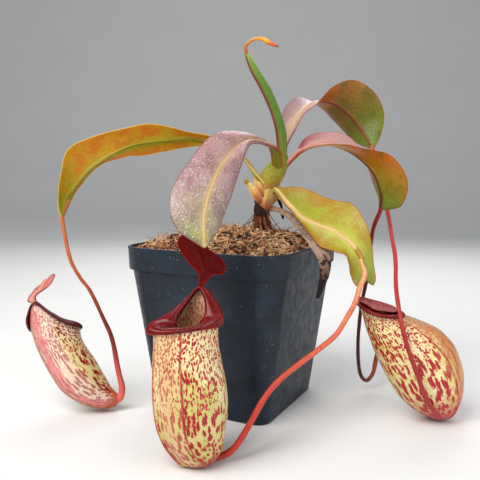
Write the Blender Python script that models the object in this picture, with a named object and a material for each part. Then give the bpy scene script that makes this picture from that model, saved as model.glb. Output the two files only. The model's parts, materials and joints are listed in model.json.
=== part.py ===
# Potted tropical pitcher plant: a square nursery pot, potting mix, a short stem,
# arching leaves, and pitchers that hang from the leaf tips on long tendrils.
# Metres, +Z up. Origin at the centre of the pot's base, X and Y square to its sides.
import math
import random

import bmesh
import bpy
from mathutils import Vector, noise

MM = 0.001
GAP = 0.3            # clearance between pieces that touch, in millimetres

# Pot, a 10 cm square nursery pot
POT_HEIGHT = 94.5
POT_RIM = 100.0
POT_UNDER_RIM = 95.0
POT_BASE = 72.5
POT_RIM_BAND = 13.0
POT_WALL = 1.6
POT_FLOOR = 2.5
POT_CORNER_TOP = 15.0
POT_CORNER_BASE = 8.0
DRAIN_HOLE = 4.0
DRAIN_PLACE = 22.0

# Potting mix
SOIL_EDGE = 90.5
SOIL_CROWN = 101.0
SOIL_ROUGHNESS = 1.6
CHIP_COUNT = 18
CHIP_SEED = 11

# The plant is drawn as seen from one side of the pot's front corner:
# x to the right, y away, z up, in millimetres, and turned by this angle.
PLANT_TURN = math.radians(27.3)

# Leaf blades. The places run across a blade from its left edge to its right edge.
BLADE = 0.8
ACROSS = (-1.0, -0.72, -0.42, -0.13, 0.0, 0.13, 0.42, 0.72, 1.0)
RIB_COLUMN = 4
STALK_WIDTH = 5.0    # a leaf this narrow is all stalk
OPEN_WIDTH = 14.0    # a leaf this wide is all blade

# Leaf stations from base to tip: left edge, midrib, right edge
LEAF_LEFT = (
    ((18, -1, 129), (18, 2, 127), (18, 4, 126)),
    ((10, -5, 138), (11, -3, 136), (12, -2, 135)),
    ((2, -8, 147), (4, -6, 145), (6, -4, 143)),
    ((-9, -12, 155), (-8, -9, 151), (-7, -6, 148)),
    ((-28, -20, 159), (-24, -13, 154), (-22, -8, 151)),
    ((-45, -24, 162), (-41, -16, 153), (-39, -11, 148)),
    ((-62, -26, 159), (-55, -18, 151), (-52, -13, 145)),
    ((-78, -27, 155), (-67, -20, 146), (-63, -13, 144)),
    ((-91, -28, 148), (-80, -20, 138), (-77, -13, 140)),
    ((-95, -28, 133), (-90, -20, 127), (-86, -13, 131)),
    ((-98, -24, 118), (-96, -20, 117), (-93, -16, 119)),
    ((-98, -21, 112), (-97, -20, 112), (-96, -19, 112)),
)
LEAF_FRONT = (
    ((22, 3, 134), (25, 3, 134), (28, 3, 134)),
    ((19.5, -7, 149), (23, -8.5, 148.5), (26.5, -8, 147)),
    ((12.5, -21, 155.5), (15, -19.5, 153), (17.5, -18, 150.5)),
    ((0, -40, 157), (5, -38, 152), (9, -34, 151)),
    ((-12, -54, 154), (-2, -53, 146), (5, -50, 145)),
    ((-22, -70, 141), (-8, -66, 138), (1, -62, 134)),
    ((-29, -80, 129), (-12, -76, 128), (-2, -71, 124)),
    ((-30, -85, 119), (-14, -83, 120), (-5, -77, 117)),
    ((-26, -88, 110), (-15, -87, 111), (-8, -83, 110)),
    ((-16, -90, 103), (-14, -90, 102), (-12, -89, 103)),
)
LEAF_LOW = (
    ((21, 4, 129), (21, 2, 128), (21, 1, 126)),
    ((28, 1, 127), (26, -3, 124), (25, -6, 122)),
    ((36, 0, 127), (32, -9, 117), (31, -12, 115)),
    ((44, -3, 125), (38, -15, 111), (36, -19, 108)),
    ((51, -7, 122), (43, -19, 108), (41, -25, 102)),
    ((59, -11, 120), (48, -23, 106), (46, -31, 96)),
    ((66, -17, 118), (54, -27, 104), (53, -37, 94)),
    ((71, -25, 110), (60, -31, 100), (59, -38, 91)),
    ((74, -31, 100), (65, -35, 95), (61, -37, 84)),
    ((75.5, -33, 90), (68, -37.5, 89), (62.5, -37, 79.5)),
    ((76, -36, 78.5), (69, -40, 81.5), (63, -38, 77)),
)
LEAF_RIGHT = (
    ((26, 4, 138), (27, 3, 137), (28, 2, 136)),
    ((35, 3, 147), (36, 1, 147), (37, -1, 146)),
    ((42, 9, 156), (42, -1, 151), (43, -9, 150)),
    ((53, 13, 160), (50, -4, 153), (53, -15, 151)),
    ((64, 12, 160), (60, -7, 151), (63, -19, 151)),
    ((71, 8, 155), (68, -9, 147), (74, -22, 149)),
    ((75, 2, 146), (74, -11, 142), (84, -23, 146)),
    ((78, -3, 138), (79, -13, 136), (92, -23, 138)),
    ((81, -6, 129), (82, -14, 129), (96, -22, 128)),
    ((83, -10, 121), (84, -14, 121), (94, -16, 117)),
    ((82, -12, 114), (83, -13, 114), (84, -13, 114)),
)
LEAF_BACK = (
    ((25, 6, 138), (26, 6, 138), (27, 6, 138)),
    ((27, 12, 151), (29, 11, 151), (31, 10, 151)),
    ((28, 19, 168), (34, 14, 164), (38, 10, 165)),
    ((33, 27, 179), (39, 19, 172), (43, 13, 172)),
    ((42, 36, 184), (47, 26, 179), (50, 19, 178)),
    ((53, 43, 180), (57, 33, 181), (60, 27, 189)),
    ((63, 46, 171), (65, 37, 179), (74, 31, 194)),
    ((71, 45, 163), (73, 38, 173), (88, 33, 187)),
    ((77, 42, 157), (80, 37, 165), (95, 34, 174)),
    ((82, 37, 153), (85, 33, 157), (93, 31, 160)),
    ((86, 30, 151), (87, 30, 151), (88, 29, 151)),
)
LEAF_DEAD = (
    ((16, 4, 115), (16, 3, 113), (16, 2, 112)),
    ((22, 1, 116), (22, 0, 114), (23, -1, 113)),
    ((29, -3, 114), (28, -5, 112), (28, -7, 111)),
    ((36, -9, 110), (35, -12, 108), (33, -15, 107)),
    ((43, -19, 104), (40, -21, 101), (37, -24, 101)),
    ((49, -27, 97), (45, -29, 95), (41, -32, 96)),
    ((52, -31, 90), (48, -33, 89), (45, -34, 88)),
    ((52, -32, 82), (49, -34, 81), (46, -34, 81)),
    ((48, -32, 72), (47, -33, 72), (45, -33, 72)),
    ((46, -32, 67), (45, -32, 67), (44, -32, 67)),
)

# Routes of the stem, the tendrils and the thin pieces
STEM_ROUTE = ((15, 4, 88), (16, 4, 100), (16, 4, 112), (16, 4, 120), (18, 4, 127),
              (22, 4, 134), (26, 4, 140), (28, 4, 145))
STEM_RADII = (4.4, 4.4, 4.2, 4.8, 6.0, 6.6, 5.6, 3.4)
STUB_UPPER = ((16, 4, 126), (13, 3, 131), (12, 3, 135))
STUB_LOWER = ((16, 4, 121), (10, 2, 127), (6, 1, 131))
SPEAR_ROUTE = ((28, 4, 138), (27, 2, 157), (24, 1, 169), (18, 0, 183), (11, 0, 195), (7, 0, 203))
SPEAR_RADII = (2.6, 3.2, 2.9, 3.0, 2.6, 1.5)
SPEAR_TENDRIL = ((6.6, 0, 203.8), (6, 0, 208), (9, -1, 211), (12, -2, 212), (16, -3, 211.5),
                 (19, -4, 209.5), (24, -6, 207))
SPEAR_TENDRIL_RADII = (1.0, 1.0, 0.9, 0.9, 1.1, 1.5, 0.6)
STRIP_ROUTE = ((17, 5, 122), (22, 7, 122), (26, 9, 119), (28, 10, 115), (29, 11, 108))

TENDRIL_LEFT = ((-97, -20, 112), (-96, -20, 101), (-93, -21, 87), (-88, -21, 77), (-82, -22, 69),
                (-75, -23, 54), (-70, -24, 42), (-67, -24, 24), (-65, -24, 14), (-66, -24, 8),
                (-70, -24, 6))
TENDRIL_FRONT = ((69, -40.3, 81.5), (66, -44, 76), (62, -50, 68), (57, -56, 62), (50.7, -60.5, 54.1),
                 (41, -66, 47.9), (30.5, -72, 42.2), (22.8, -77, 37.9), (17.3, -80, 33.5),
                 (12.4, -83, 27.8), (7.7, -85.5, 20), (3.4, -87, 13.3), (0.1, -88, 7.4),
                 (-2.7, -88, 3.3), (-8.5, -88, 3))
TENDRIL_BACK = ((87, 30, 151), (88, 22, 139), (90, 10, 122), (91, 0, 110), (90, -14, 98),
                (89, -26, 88), (86, -40, 75), (85, -50, 66), (86, -56, 55), (89, -58, 44),
                (93.6, -58, 32), (98.2, -56, 21), (103.2, -52.5, 12.4), (107.3, -49, 8), (110.5, -45.5, 4.8),
                (113, -41, 3.4))
TENDRIL_RIGHT = ((83, -13, 114), (81, -10, 107), (80, -8, 101), (79, -6, 88), (78, -4, 72),
                 (76, -1, 57), (75, 1, 40), (75, 2, 28), (76, 3, 17), (78, 4, 10), (82, 6, 7),
                 (86, 8, 11), (88, 10, 18), (90, 12, 25))
TENDRIL_RADII = (1.5, 1.4, 1.4, 1.5, 1.6, 1.7)
LEFT_TENDRIL_RADII = (1.4, 1.3, 1.25, 1.2, 1.25, 1.6, 1.9, 2.1, 2.3)
DARK_TENDRIL_RADII = (1.3, 1.1, 1.1, 1.1, 1.2, 1.6)
TENDRIL_SIDES = 7

# Pitcher stations from the bottom up: centre of the ring, half width, half depth.
# Mouth: direction of the low front lip, direction of its right side, rise at the neck.
PITCHER_FRONT = {
    "rings": (((-11.5, -88, 0.7), 3.2, 3.2), ((-12.5, -88, 2.0), 7.2, 6.8), ((-14.2, -88, 4.6), 10.2, 9.6),
              ((-16.6, -88, 8.6), 13.0, 12.2), ((-18.9, -88, 14.8), 15.4, 14.6), ((-20.4, -88, 21.8), 17.2, 16.0),
              ((-20.9, -88, 29.4), 18.0, 16.6), ((-21.4, -88, 37.5), 18.0, 16.6), ((-22.4, -88, 50.4), 16.4, 15.2),
              ((-22.4, -88, 57.5), 16.1, 14.4), ((-22.4, -88, 65.4), 16.3, 14.0)),
    "front": (-0.44, -0.90, 0.06), "side": (0.90, -0.44, 0.18), "rise": 16.0, "lip": 1.05,
    "wings": (-38, 18),
}
PITCHER_LEFT = {
    "rings": (((-68, -24, 6.0), 3.2, 3.2), ((-71, -24, 6.6), 5.2, 5.2), ((-76, -24, 8.4), 7.6, 7.6),
              ((-82, -24, 12.8), 10.2, 10.2), ((-89, -24, 20), 12.6, 12.6), ((-95, -23.5, 28), 12.9, 12.9),
              ((-100, -22.5, 36), 13.2, 13.2), ((-103, -20.5, 42), 13.4, 13.2),
              ((-104, -19, 46.5), 13.6, 13.2)),
    "front": (0.55, 0.80, -0.25), "side": (0.91, -0.36, 0.22), "rise": 14.0, "lip": 0.62,
    "wings": (-30, 30),
}
PITCHER_RIGHT = {
    "rings": (((113.8, -38, 0.8), 3.0, 3.0), ((113.6, -38, 2.6), 6.5, 6.4), ((112.6, -38, 6.6), 10.5, 10.6),
              ((110.6, -38, 12.4), 13.2, 15.0), ((106.8, -38, 21.5), 15.6, 19.0), ((101, -38, 33), 16.5, 20.8),
              ((94.2, -38, 42.8), 16.5, 20.4), ((88, -38, 51), 15.0, 18.4), ((82.5, -38, 57.5), 13.4, 14.8),
              ((78, -38, 60.8), 12.6, 12.2)),
    "front": (0.99, 0.0, -0.12), "side": (0.0, -1.0, 0.0), "rise": 3.5, "lip": 0.62,
    "wings": (-15, 58),
}
PITCHER_YOUNG_ROUTE = ((89, 11, 22), (91, 12.5, 26), (94, 13, 31), (95.5, 13, 37), (96, 13, 42), (95, 13, 46))
PITCHER_YOUNG_RADII = (1.4, 2.6, 4.2, 4.6, 4.0, 1.6)

LID_FRONT = (
    ((-18, -75.7, 88.3), (-14.9, -75.2, 88.8), (-10.8, -74.7, 87.3)),
    ((-22.6, -74.7, 93.4), (-15.4, -73.1, 92.9), (-6, -73.6, 87.3)),
    ((-26.7, -72.6, 99.1), (-16.4, -71.6, 96), (-4.9, -72.1, 91.4)),
    ((-27.7, -71.6, 103.2), (-18, -70.6, 99.1), (-7.7, -70.6, 95.5)),
    ((-25.1, -70.6, 106.8), (-19, -70, 101.6), (-12.3, -70, 98.5)),
    ((-22.1, -70, 106.2), (-19.5, -70, 103.7), (-15.9, -70, 100.6)),
)
LID_LEFT = (
    ((-115, -29, 64.5), (-113, -29, 67), (-110, -29, 68.5)),
    ((-116.5, -25, 65), (-111, -24, 70), (-104.5, -24, 73)),
    ((-117, -19, 66.5), (-111, -18, 71.5), (-103.5, -18, 75.5)),
    ((-116.5, -13, 68.5), (-111, -12, 73.5), (-105, -12, 77.5)),
    ((-113.5, -9, 71), (-111, -9, 73.5), (-108.5, -9, 75.5)),
)
LID_RIGHT = (
    ((67.5, -31, 67.2), (67.5, -38, 68.6), (67.5, -45, 67)),
    ((72.5, -27, 65.2), (72.5, -38, 67.4), (72.5, -50, 64.8)),
    ((78.5, -26.5, 63.9), (78.5, -38, 65.8), (78.5, -50.6, 63.7)),
    ((84, -29.5, 63), (84, -38, 64), (84, -47, 62.8)),
    ((87, -35, 62.3), (87, -38, 62.6), (87, -41, 62.2)),
)

# Pitcher cups
CUP_WALL = 1.2
CUP_FLOOR = 0.20     # where the hollow of a cup ends, as a share of its length
FLOOR_INSET = 2.5
WING_HEIGHT = 1.1
WING_FOOT = 6        # degrees from a wing's crest to its foot
WING_END = 0.94      # where the wings run out, as a share of a cup's length
RING_STEP = 15       # degrees between the plain points of a ring
OUTER_RINGS = 11
INNER_RINGS = 6
TURN_START = 0.45    # where the rings start to turn towards the mouth's own tilt
NECK_PINCH = 0.30
APEX_ROUND = 0.35    # how far the mouth's apex is rounded off
ARM_SHARE = 0.8      # share of the neck's rise that the mouth's steep arms take
REST_LEVEL = 0.3     # lowest that a pitcher's wall comes to the floor, which flattens its resting side
REST_EASE = 1.0      # height over which the wall flattens

# Pitcher lips: the section's places are outward and up from the cup's rim
LIP_RIBS = 15
LIP_REST = 0.5
LIP_CREST = 2.3
LIP_SECTION = ((-4.4, -1.3), (-1.6, LIP_REST), (1.0, LIP_REST), (1.6, -0.8), (2.4, -1.3), (2.7, -0.1),
               (1.6, 1.7), (-1.8, LIP_CREST))
LIP_RELIEF = 0.12
LIP_NECK = 0.65      # size of the lip at the neck, as a share of its size elsewhere
LIP_SWELL = 0.35     # how far the lip broadens on the mouth's arms
LIP_CLEAR = 1.1      # nearest that the lip's outer roll comes to the middle of the wall
LID_STALK = 2.4


def at(x, y, z):
    """A plant point, drawn in the plant's own right, back and up, as a place in metres."""
    turn_cos = math.cos(PLANT_TURN)
    turn_sin = math.sin(PLANT_TURN)
    return Vector((x * turn_cos - y * turn_sin, x * turn_sin + y * turn_cos, z)) * MM


def clear_scene():
    for old in list(bpy.data.objects):
        bpy.data.objects.remove(old, do_unlink=True)


def finish_material(name, colour, roughness, metallic=0.0):
    material = bpy.data.materials.new(name)
    material.use_nodes = True
    shader = material.node_tree.nodes["Principled BSDF"]
    shader.inputs["Base Color"].default_value = (*colour, 1.0)
    shader.inputs["Roughness"].default_value = roughness
    shader.inputs["Metallic"].default_value = metallic
    material.diffuse_color = (*colour, 1.0)
    return material


def make_object(name, points, faces, material, smooth_angle=50):
    """A closed solid from points and faces, with its faces turned outward."""
    mesh = bpy.data.meshes.new(name)
    mesh.from_pydata([tuple(point) for point in points], [], faces)
    shape = bmesh.new()
    shape.from_mesh(mesh)
    bmesh.ops.recalc_face_normals(shape, faces=shape.faces)
    shape.to_mesh(mesh)
    shape.free()
    mesh.shade_smooth()
    mesh.set_sharp_from_angle(angle=math.radians(smooth_angle))
    piece = bpy.data.objects.new(name, mesh)
    bpy.context.scene.collection.objects.link(piece)
    if material is not None:
        mesh.materials.append(material)
    return piece


def combine(piece, others, operation, solver="EXACT"):
    """Join or cut a piece with others in one Boolean, apply it, and drop the others."""
    group = bpy.data.collections.new(piece.name + "_tools")
    for other in others:
        group.objects.link(other)
    boolean = piece.modifiers.new(operation.lower(), "BOOLEAN")
    boolean.operation = operation
    boolean.operand_type = "COLLECTION"
    boolean.collection = group
    boolean.solver = solver
    evaluated = piece.evaluated_get(bpy.context.evaluated_depsgraph_get())
    mesh = bpy.data.meshes.new_from_object(evaluated)
    piece.modifiers.clear()
    piece.data = mesh
    for other in others:
        bpy.data.objects.remove(other, do_unlink=True)
    bpy.data.collections.remove(group)
    return piece


def on_curve(points, share):
    """A point at a share of the way along a smooth curve through all the points."""
    place = share * (len(points) - 1)
    index = min(int(place), len(points) - 2)
    rest = place - index
    before = points[max(index - 1, 0)]
    start = points[index]
    end = points[index + 1]
    after = points[min(index + 2, len(points) - 1)]
    return 0.5 * (2 * start + (end - before) * rest
                  + (2 * before - 5 * start + 4 * end - after) * rest ** 2
                  + (3 * start - before - 3 * end + after) * rest ** 3)


def on_values(values, share):
    """A value at a share of the way along a list of values, read in straight steps."""
    place = share * (len(values) - 1)
    index = min(int(place), len(values) - 2)
    return values[index] + (values[index + 1] - values[index]) * (place - index)


def tube(name, points, radii, material, steps=30, sides=TENDRIL_SIDES, grow=0.0):
    """A round solid along a smooth route, its radius read from a list in millimetres."""
    route = [on_curve([at(*point) for point in points], step / steps) for step in range(steps + 1)]
    route[0] = route[0] + (route[0] - route[1]).normalized() * grow * MM
    route[-1] = route[-1] + (route[-1] - route[-2]).normalized() * grow * MM
    rings = []
    across = Vector((0.0, 0.0, 1.0))
    for index, centre in enumerate(route):
        ahead = route[min(index + 1, steps)] - route[max(index - 1, 0)]
        ahead.normalize()
        if index == 0 and abs(ahead.z) > 0.9:
            across = Vector((1.0, 0.0, 0.0))
        across = (across - across.dot(ahead) * ahead).normalized()
        beside = ahead.cross(across)
        radius = (on_values(radii, index / steps) + grow) * MM
        ring = []
        for side in range(sides):
            angle = 2 * math.pi * side / sides
            ring.append(centre + radius * (math.cos(angle) * across + math.sin(angle) * beside))
        rings.append(ring)
    return loft(name, rings, material)


def loft(name, rings, material, smooth_angle=50):
    """A closed solid over rings with equal counts, with a flat cap at each end."""
    count = len(rings[0])
    points = [point for ring in rings for point in ring]
    faces = []
    for row in range(len(rings) - 1):
        for side in range(count):
            following = (side + 1) % count
            lower = row * count
            upper = lower + count
            faces.append((lower + side, lower + following, upper + following))
            faces.append((lower + side, upper + following, upper + side))
    faces.append(tuple(range(count)))
    faces.append(tuple(range(len(points) - 1, len(points) - count - 1, -1)))
    return make_object(name, points, faces, material, smooth_angle)


def blade_surface(rows, stations, bow, wave, waves, seat):
    """The middle surface of a leaf: a grid of points and its normals.

    A seat, where there is one, is a station of its own before the first row.
    """
    edges = [[at(*row[side]) for row in rows] for side in range(3)]
    if seat is not None:
        edges = [[place] + edge for place, edge in zip(seat, edges)]
    grid = []
    for station in range(stations + 1):
        share = station / stations
        left, rib, right = (on_curve(edge, share) for edge in edges)
        line = []
        for place in ACROSS:
            side = left if place < 0 else right
            line.append(rib + (side - rib) * abs(place))
        grid.append(line)
    normals = surface_normals(grid)
    for station, line in enumerate(grid):
        share = station / stations
        full = fullness(line)
        for index, place in enumerate(ACROSS):
            lift = bow * 4 * abs(place) * (1 - abs(place))
            ripple = wave * place ** 2 * math.sin(2 * math.pi * waves * share + (1.3 if place < 0 else 0.0))
            line[index] = line[index] + normals[station][index] * (lift + ripple) * full * MM
    normals = surface_normals(grid)
    for station, line in enumerate(grid):
        full = fullness(line)
        middle = normals[station][RIB_COLUMN]
        normals[station] = [middle.lerp(normal, full).normalized() for normal in normals[station]]
    return grid, normals


def fullness(line):
    """0 on a narrow stalk, 1 where the blade has opened to its width."""
    width = (line[0] - line[RIB_COLUMN]).length + (line[-1] - line[RIB_COLUMN]).length
    return min(1.0, max(0.0, (width / MM - STALK_WIDTH) / (OPEN_WIDTH - STALK_WIDTH)))


def surface_normals(grid):
    last_row = len(grid) - 1
    last_column = len(grid[0]) - 1
    normals = []
    for row in range(len(grid)):
        line = []
        for column in range(len(grid[0])):
            along = grid[min(row + 1, last_row)][column] - grid[max(row - 1, 0)][column]
            across = grid[row][min(column + 1, last_column)] - grid[row][max(column - 1, 0)]
            line.append(along.cross(across).normalized())
        normals.append(line)
    return normals


def blade(name, rows, material, stations=18, bow=1.0, wave=0.5, waves=3.0, base=3.6, rib=1.9, tip=2.2,
          thickness=BLADE, seat=None):
    """A leaf blade with a thicker midrib, split into triangles alike on both faces."""
    grid, normals = blade_surface(rows, stations, bow, wave, waves, seat)
    columns = len(ACROSS)
    upper = []
    lower = []
    for station, line in enumerate(grid):
        share = station / stations
        full = fullness(line)
        middle = rib + (base - rib) * max(0.0, 1 - share * 5) + (tip - rib) * max(0.0, share * 8 - 7)
        for index, place in enumerate(ACROSS):
            ridge = thickness + (middle - thickness) * max(0.0, 1 - abs(place) / 0.3)
            round_stalk = 0.5 + (middle - 0.5) * math.sqrt(1 - place ** 2)
            depth = round_stalk + (ridge - round_stalk) * full
            upper.append(line[index] + normals[station][index] * depth * 0.4 * MM)
            lower.append(line[index] - normals[station][index] * depth * 0.6 * MM)
    points = upper + lower
    shift = len(upper)
    faces = []
    for row in range(stations):
        for column in range(columns - 1):
            first = row * columns + column
            corners = (first, first + 1, first + columns + 1, first + columns)
            faces.append((corners[0], corners[1], corners[2]))
            faces.append((corners[0], corners[2], corners[3]))
            faces.append((corners[2] + shift, corners[1] + shift, corners[0] + shift))
            faces.append((corners[3] + shift, corners[2] + shift, corners[0] + shift))
        for column in (0, columns - 1):
            near = row * columns + column
            far = near + columns
            faces.append((near, far, far + shift))
            faces.append((near, far + shift, near + shift))
    for row in (0, stations):
        for column in range(columns - 1):
            near = row * columns + column
            faces.append((near, near + 1, near + 1 + shift))
            faces.append((near, near + 1 + shift, near + shift))
    return make_object(name, points, faces, material)


def rounded_square(width, radius, height, per_corner=5, per_side=0):
    """Points round a square with rounded corners, in metres."""
    half = width / 2
    corners = ((1, 1), (-1, 1), (-1, -1), (1, -1))
    outline = []
    for number, (sign_x, sign_y) in enumerate(corners):
        for step in range(per_corner):
            angle = math.radians(90 * (number + step / (per_corner - 1)))
            outline.append(Vector((sign_x * (half - radius) + radius * math.cos(angle),
                                   sign_y * (half - radius) + radius * math.sin(angle), height)) * MM)
        start = outline[-1]
        next_x, next_y = corners[(number + 1) % 4]
        turned = math.radians(90 * (number + 1))
        end = Vector((next_x * (half - radius) + radius * math.cos(turned),
                      next_y * (half - radius) + radius * math.sin(turned), height)) * MM
        for step in range(per_side):
            outline.append(start.lerp(end, (step + 1) / (per_side + 1)))
    return outline


def pot_width(height):
    """Outer width and corner radius of the pot's body at a height."""
    share = height / (POT_HEIGHT - POT_RIM_BAND)
    width = POT_BASE + (POT_UNDER_RIM - POT_BASE) * share
    corner = POT_CORNER_BASE + (POT_CORNER_TOP - POT_CORNER_BASE) * share
    return width, corner


def make_pot():
    plastic = finish_material("pot_plastic", (0.022, 0.032, 0.042), 0.42)
    band = POT_HEIGHT - POT_RIM_BAND
    edge = 0.6
    rings = [rounded_square(POT_BASE - 2 * edge, POT_CORNER_BASE - edge, 0.0)]
    for height in (edge * 1.6, band * 0.5, band):
        width, corner = pot_width(height)
        rings.append(rounded_square(width, corner, height))
    rings.append(rounded_square(POT_RIM - 1.0, POT_CORNER_TOP + 1.6, band + 0.8))
    rings.append(rounded_square(POT_RIM - 0.2, POT_CORNER_TOP + 2.0, POT_HEIGHT - 1.0))
    rings.append(rounded_square(POT_RIM - 1.0, POT_CORNER_TOP + 1.7, POT_HEIGHT))
    rings.append(rounded_square(POT_RIM - 2 * POT_WALL, POT_CORNER_TOP + 0.6, POT_HEIGHT))
    rings.append(rounded_square(POT_RIM - 2 * POT_WALL - 1.0, POT_CORNER_TOP + 0.4, band + 0.6))
    for height in (band - 1.5, band * 0.5, POT_FLOOR):
        width, corner = pot_width(height)
        rings.append(rounded_square(width - 2 * POT_WALL, corner - POT_WALL * 0.5, height))
    pot = loft("pot", rings, plastic, smooth_angle=35)
    cutters = []
    for sign_x in (-1, 1):
        for sign_y in (-1, 1):
            cutter = cylinder(sign_x * DRAIN_PLACE, sign_y * DRAIN_PLACE, -2, POT_FLOOR + 2, DRAIN_HOLE)
            cutters.append(cutter)
    return combine(pot, cutters, "DIFFERENCE")


def cylinder(x, y, low, high, radius, sides=10):
    rings = []
    for height in (low, high):
        ring = []
        for side in range(sides):
            angle = 2 * math.pi * side / sides
            ring.append(Vector((x + radius * math.cos(angle), y + radius * math.sin(angle), height)) * MM)
        rings.append(ring)
    return loft("cylinder", rings, None)


def soil_height(x, y):
    """Height of the mix's surface over a place in millimetres: a mound with lumps."""
    edge = max(abs(x), abs(y)) / (POT_RIM / 2 - 3)
    mound = SOIL_EDGE + (SOIL_CROWN - SOIL_EDGE) * (1 - edge ** 2.2)
    lumps = noise.noise(Vector((x * 0.16, y * 0.16, 0.3))) + 0.6 * noise.noise(Vector((x * 0.4, y * 0.4, 4.1)))
    return mound + SOIL_ROUGHNESS * lumps * (1 - edge ** 6)


def make_chip(number, picker):
    """A tilted scrap of husk or bark, on a spiral of places, half sunk in the mix."""
    turn = number * 2.4
    reach = 43 * math.sqrt((number + 0.7) / CHIP_COUNT)
    x = reach * math.cos(turn) * 0.98
    y = reach * math.sin(turn) * 0.98
    size = Vector((picker.uniform(5, 9), picker.uniform(2.6, 4.4), picker.uniform(1.6, 2.8)))
    spin = picker.uniform(0, math.pi)
    tilt = picker.uniform(-0.5, 0.5)
    points = []
    for corner_x, corner_y, corner_z in ((sx, sy, sz) for sx in (-1, 1) for sy in (-1, 1) for sz in (-1, 1)):
        pinch = 1 - 0.3 * (corner_x * corner_y > 0)
        along = corner_x * size.x / 2
        beside = corner_y * size.y / 2 * pinch
        rise = corner_z * size.z / 2 + along * tilt
        points.append(Vector((x + along * math.cos(spin) - beside * math.sin(spin),
                              y + along * math.sin(spin) + beside * math.cos(spin),
                              soil_height(x, y) + 0.5 + rise)) * MM)
    faces = [(0, 1, 3, 2), (4, 6, 7, 5), (0, 4, 5, 1), (2, 3, 7, 6), (0, 2, 6, 4), (1, 5, 7, 3)]
    return x, y, points, faces


def make_soil():
    husk = finish_material("potting_mix", (0.21, 0.085, 0.035), 0.95)
    band = POT_HEIGHT - POT_RIM_BAND
    clearance = 2 * (POT_WALL + 0.5)
    rings = []
    for height in (POT_FLOOR + GAP, band * 0.5, band - 2.0):
        width, corner = pot_width(height)
        rings.append(rounded_square(width - clearance, corner - POT_WALL * 0.5, height, 5, 4))
    rim_inside = POT_RIM - clearance - 1.2
    rings.append(rounded_square(rim_inside, POT_CORNER_TOP, SOIL_EDGE - 1.5, 5, 4))
    outline = rounded_square(rim_inside, POT_CORNER_TOP, 0.0, 5, 4)
    for scale in (1.0, 0.9, 0.76, 0.62, 0.47, 0.32, 0.16):
        ring = []
        for point in outline:
            x = point.x / MM * scale
            y = point.y / MM * scale
            ring.append(Vector((x, y, soil_height(x, y))) * MM)
        rings.append(ring)
    soil = loft("soil", rings, husk, smooth_angle=70)
    picker = random.Random(CHIP_SEED)
    chips = []
    stem_x, stem_y, _ = at(*STEM_ROUTE[1]) / MM
    for number in range(CHIP_COUNT):
        x, y, points, faces = make_chip(number, picker)
        clear_of_stem = math.hypot(x - stem_x, y - stem_y) > 12
        inside_pot = max(abs(x), abs(y)) < 39
        if clear_of_stem and inside_pot:
            chips.append(make_object("chip", points, faces, None))
    combine(soil, chips, "UNION", "MANIFOLD")
    hole = tube("hole", STEM_ROUTE, STEM_RADII, None, steps=14, sides=12, grow=GAP + 0.1)
    strip_hole = tube("hole", STRIP_ROUTE, (1.1, 1.1), None, steps=12, sides=6, grow=GAP)
    return combine(soil, [hole, strip_hole], "DIFFERENCE")


def stem_shape(name, material, grow=0.0):
    return tube(name, STEM_ROUTE, STEM_RADII, material, steps=14, sides=12, grow=grow)


def make_stem():
    bark = finish_material("stem_bark", (0.30, 0.16, 0.05), 0.7)
    stem = stem_shape("stem", bark)
    stubs = [tube("stub", STUB_UPPER, (2.0, 1.3), None, steps=4, sides=7),
             tube("stub", STUB_LOWER, (2.2, 1.4), None, steps=4, sides=7)]
    return combine(stem, stubs, "UNION")


def cut_clear_of_stem(piece):
    return combine(piece, [stem_shape("clearance", None, grow=GAP)], "DIFFERENCE", "MANIFOLD")


def make_leaves():
    pink = finish_material("leaf_mauve", (0.36, 0.20, 0.22), 0.42)
    ochre = finish_material("leaf_ochre", (0.42, 0.22, 0.02), 0.42)
    green = finish_material("leaf_green", (0.22, 0.30, 0.06), 0.42)
    olive = finish_material("leaf_olive", (0.22, 0.16, 0.03), 0.42)
    spear = finish_material("spear_green", (0.16, 0.28, 0.04), 0.40)
    dead = finish_material("leaf_dry", (0.40, 0.26, 0.16), 0.80)
    cut_clear_of_stem(blade("leaf_left", LEAF_LEFT, ochre, bow=-0.9, wave=0.6, waves=3.0))
    cut_clear_of_stem(blade("leaf_front", LEAF_FRONT, pink, bow=1.6, wave=0.5, waves=2.5))
    cut_clear_of_stem(blade("leaf_low_right", LEAF_LOW, green, bow=1.2, wave=0.8, waves=2.5, tip=1.4))
    cut_clear_of_stem(blade("leaf_right", LEAF_RIGHT, olive, bow=1.2, wave=0.6, waves=2.5))
    cut_clear_of_stem(blade("leaf_back", LEAF_BACK, olive, bow=1.2, wave=0.5, waves=2.5))
    cut_clear_of_stem(blade("leaf_dead", LEAF_DEAD, dead, stations=16, bow=0.8, wave=0.9, waves=4.0,
                            base=1.8, rib=1.2, tip=1.0))
    cut_clear_of_stem(tube("leaf_spear", SPEAR_ROUTE, SPEAR_RADII, spear, steps=14, sides=9))
    tube("spear_tendril", SPEAR_TENDRIL, SPEAR_TENDRIL_RADII, spear, steps=18, sides=6)
    black = finish_material("dead_strip", (0.015, 0.012, 0.010), 0.85)
    cut_clear_of_stem(tube("dead_strip", STRIP_ROUTE, (1.1, 1.0), black, steps=12, sides=6))


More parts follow.
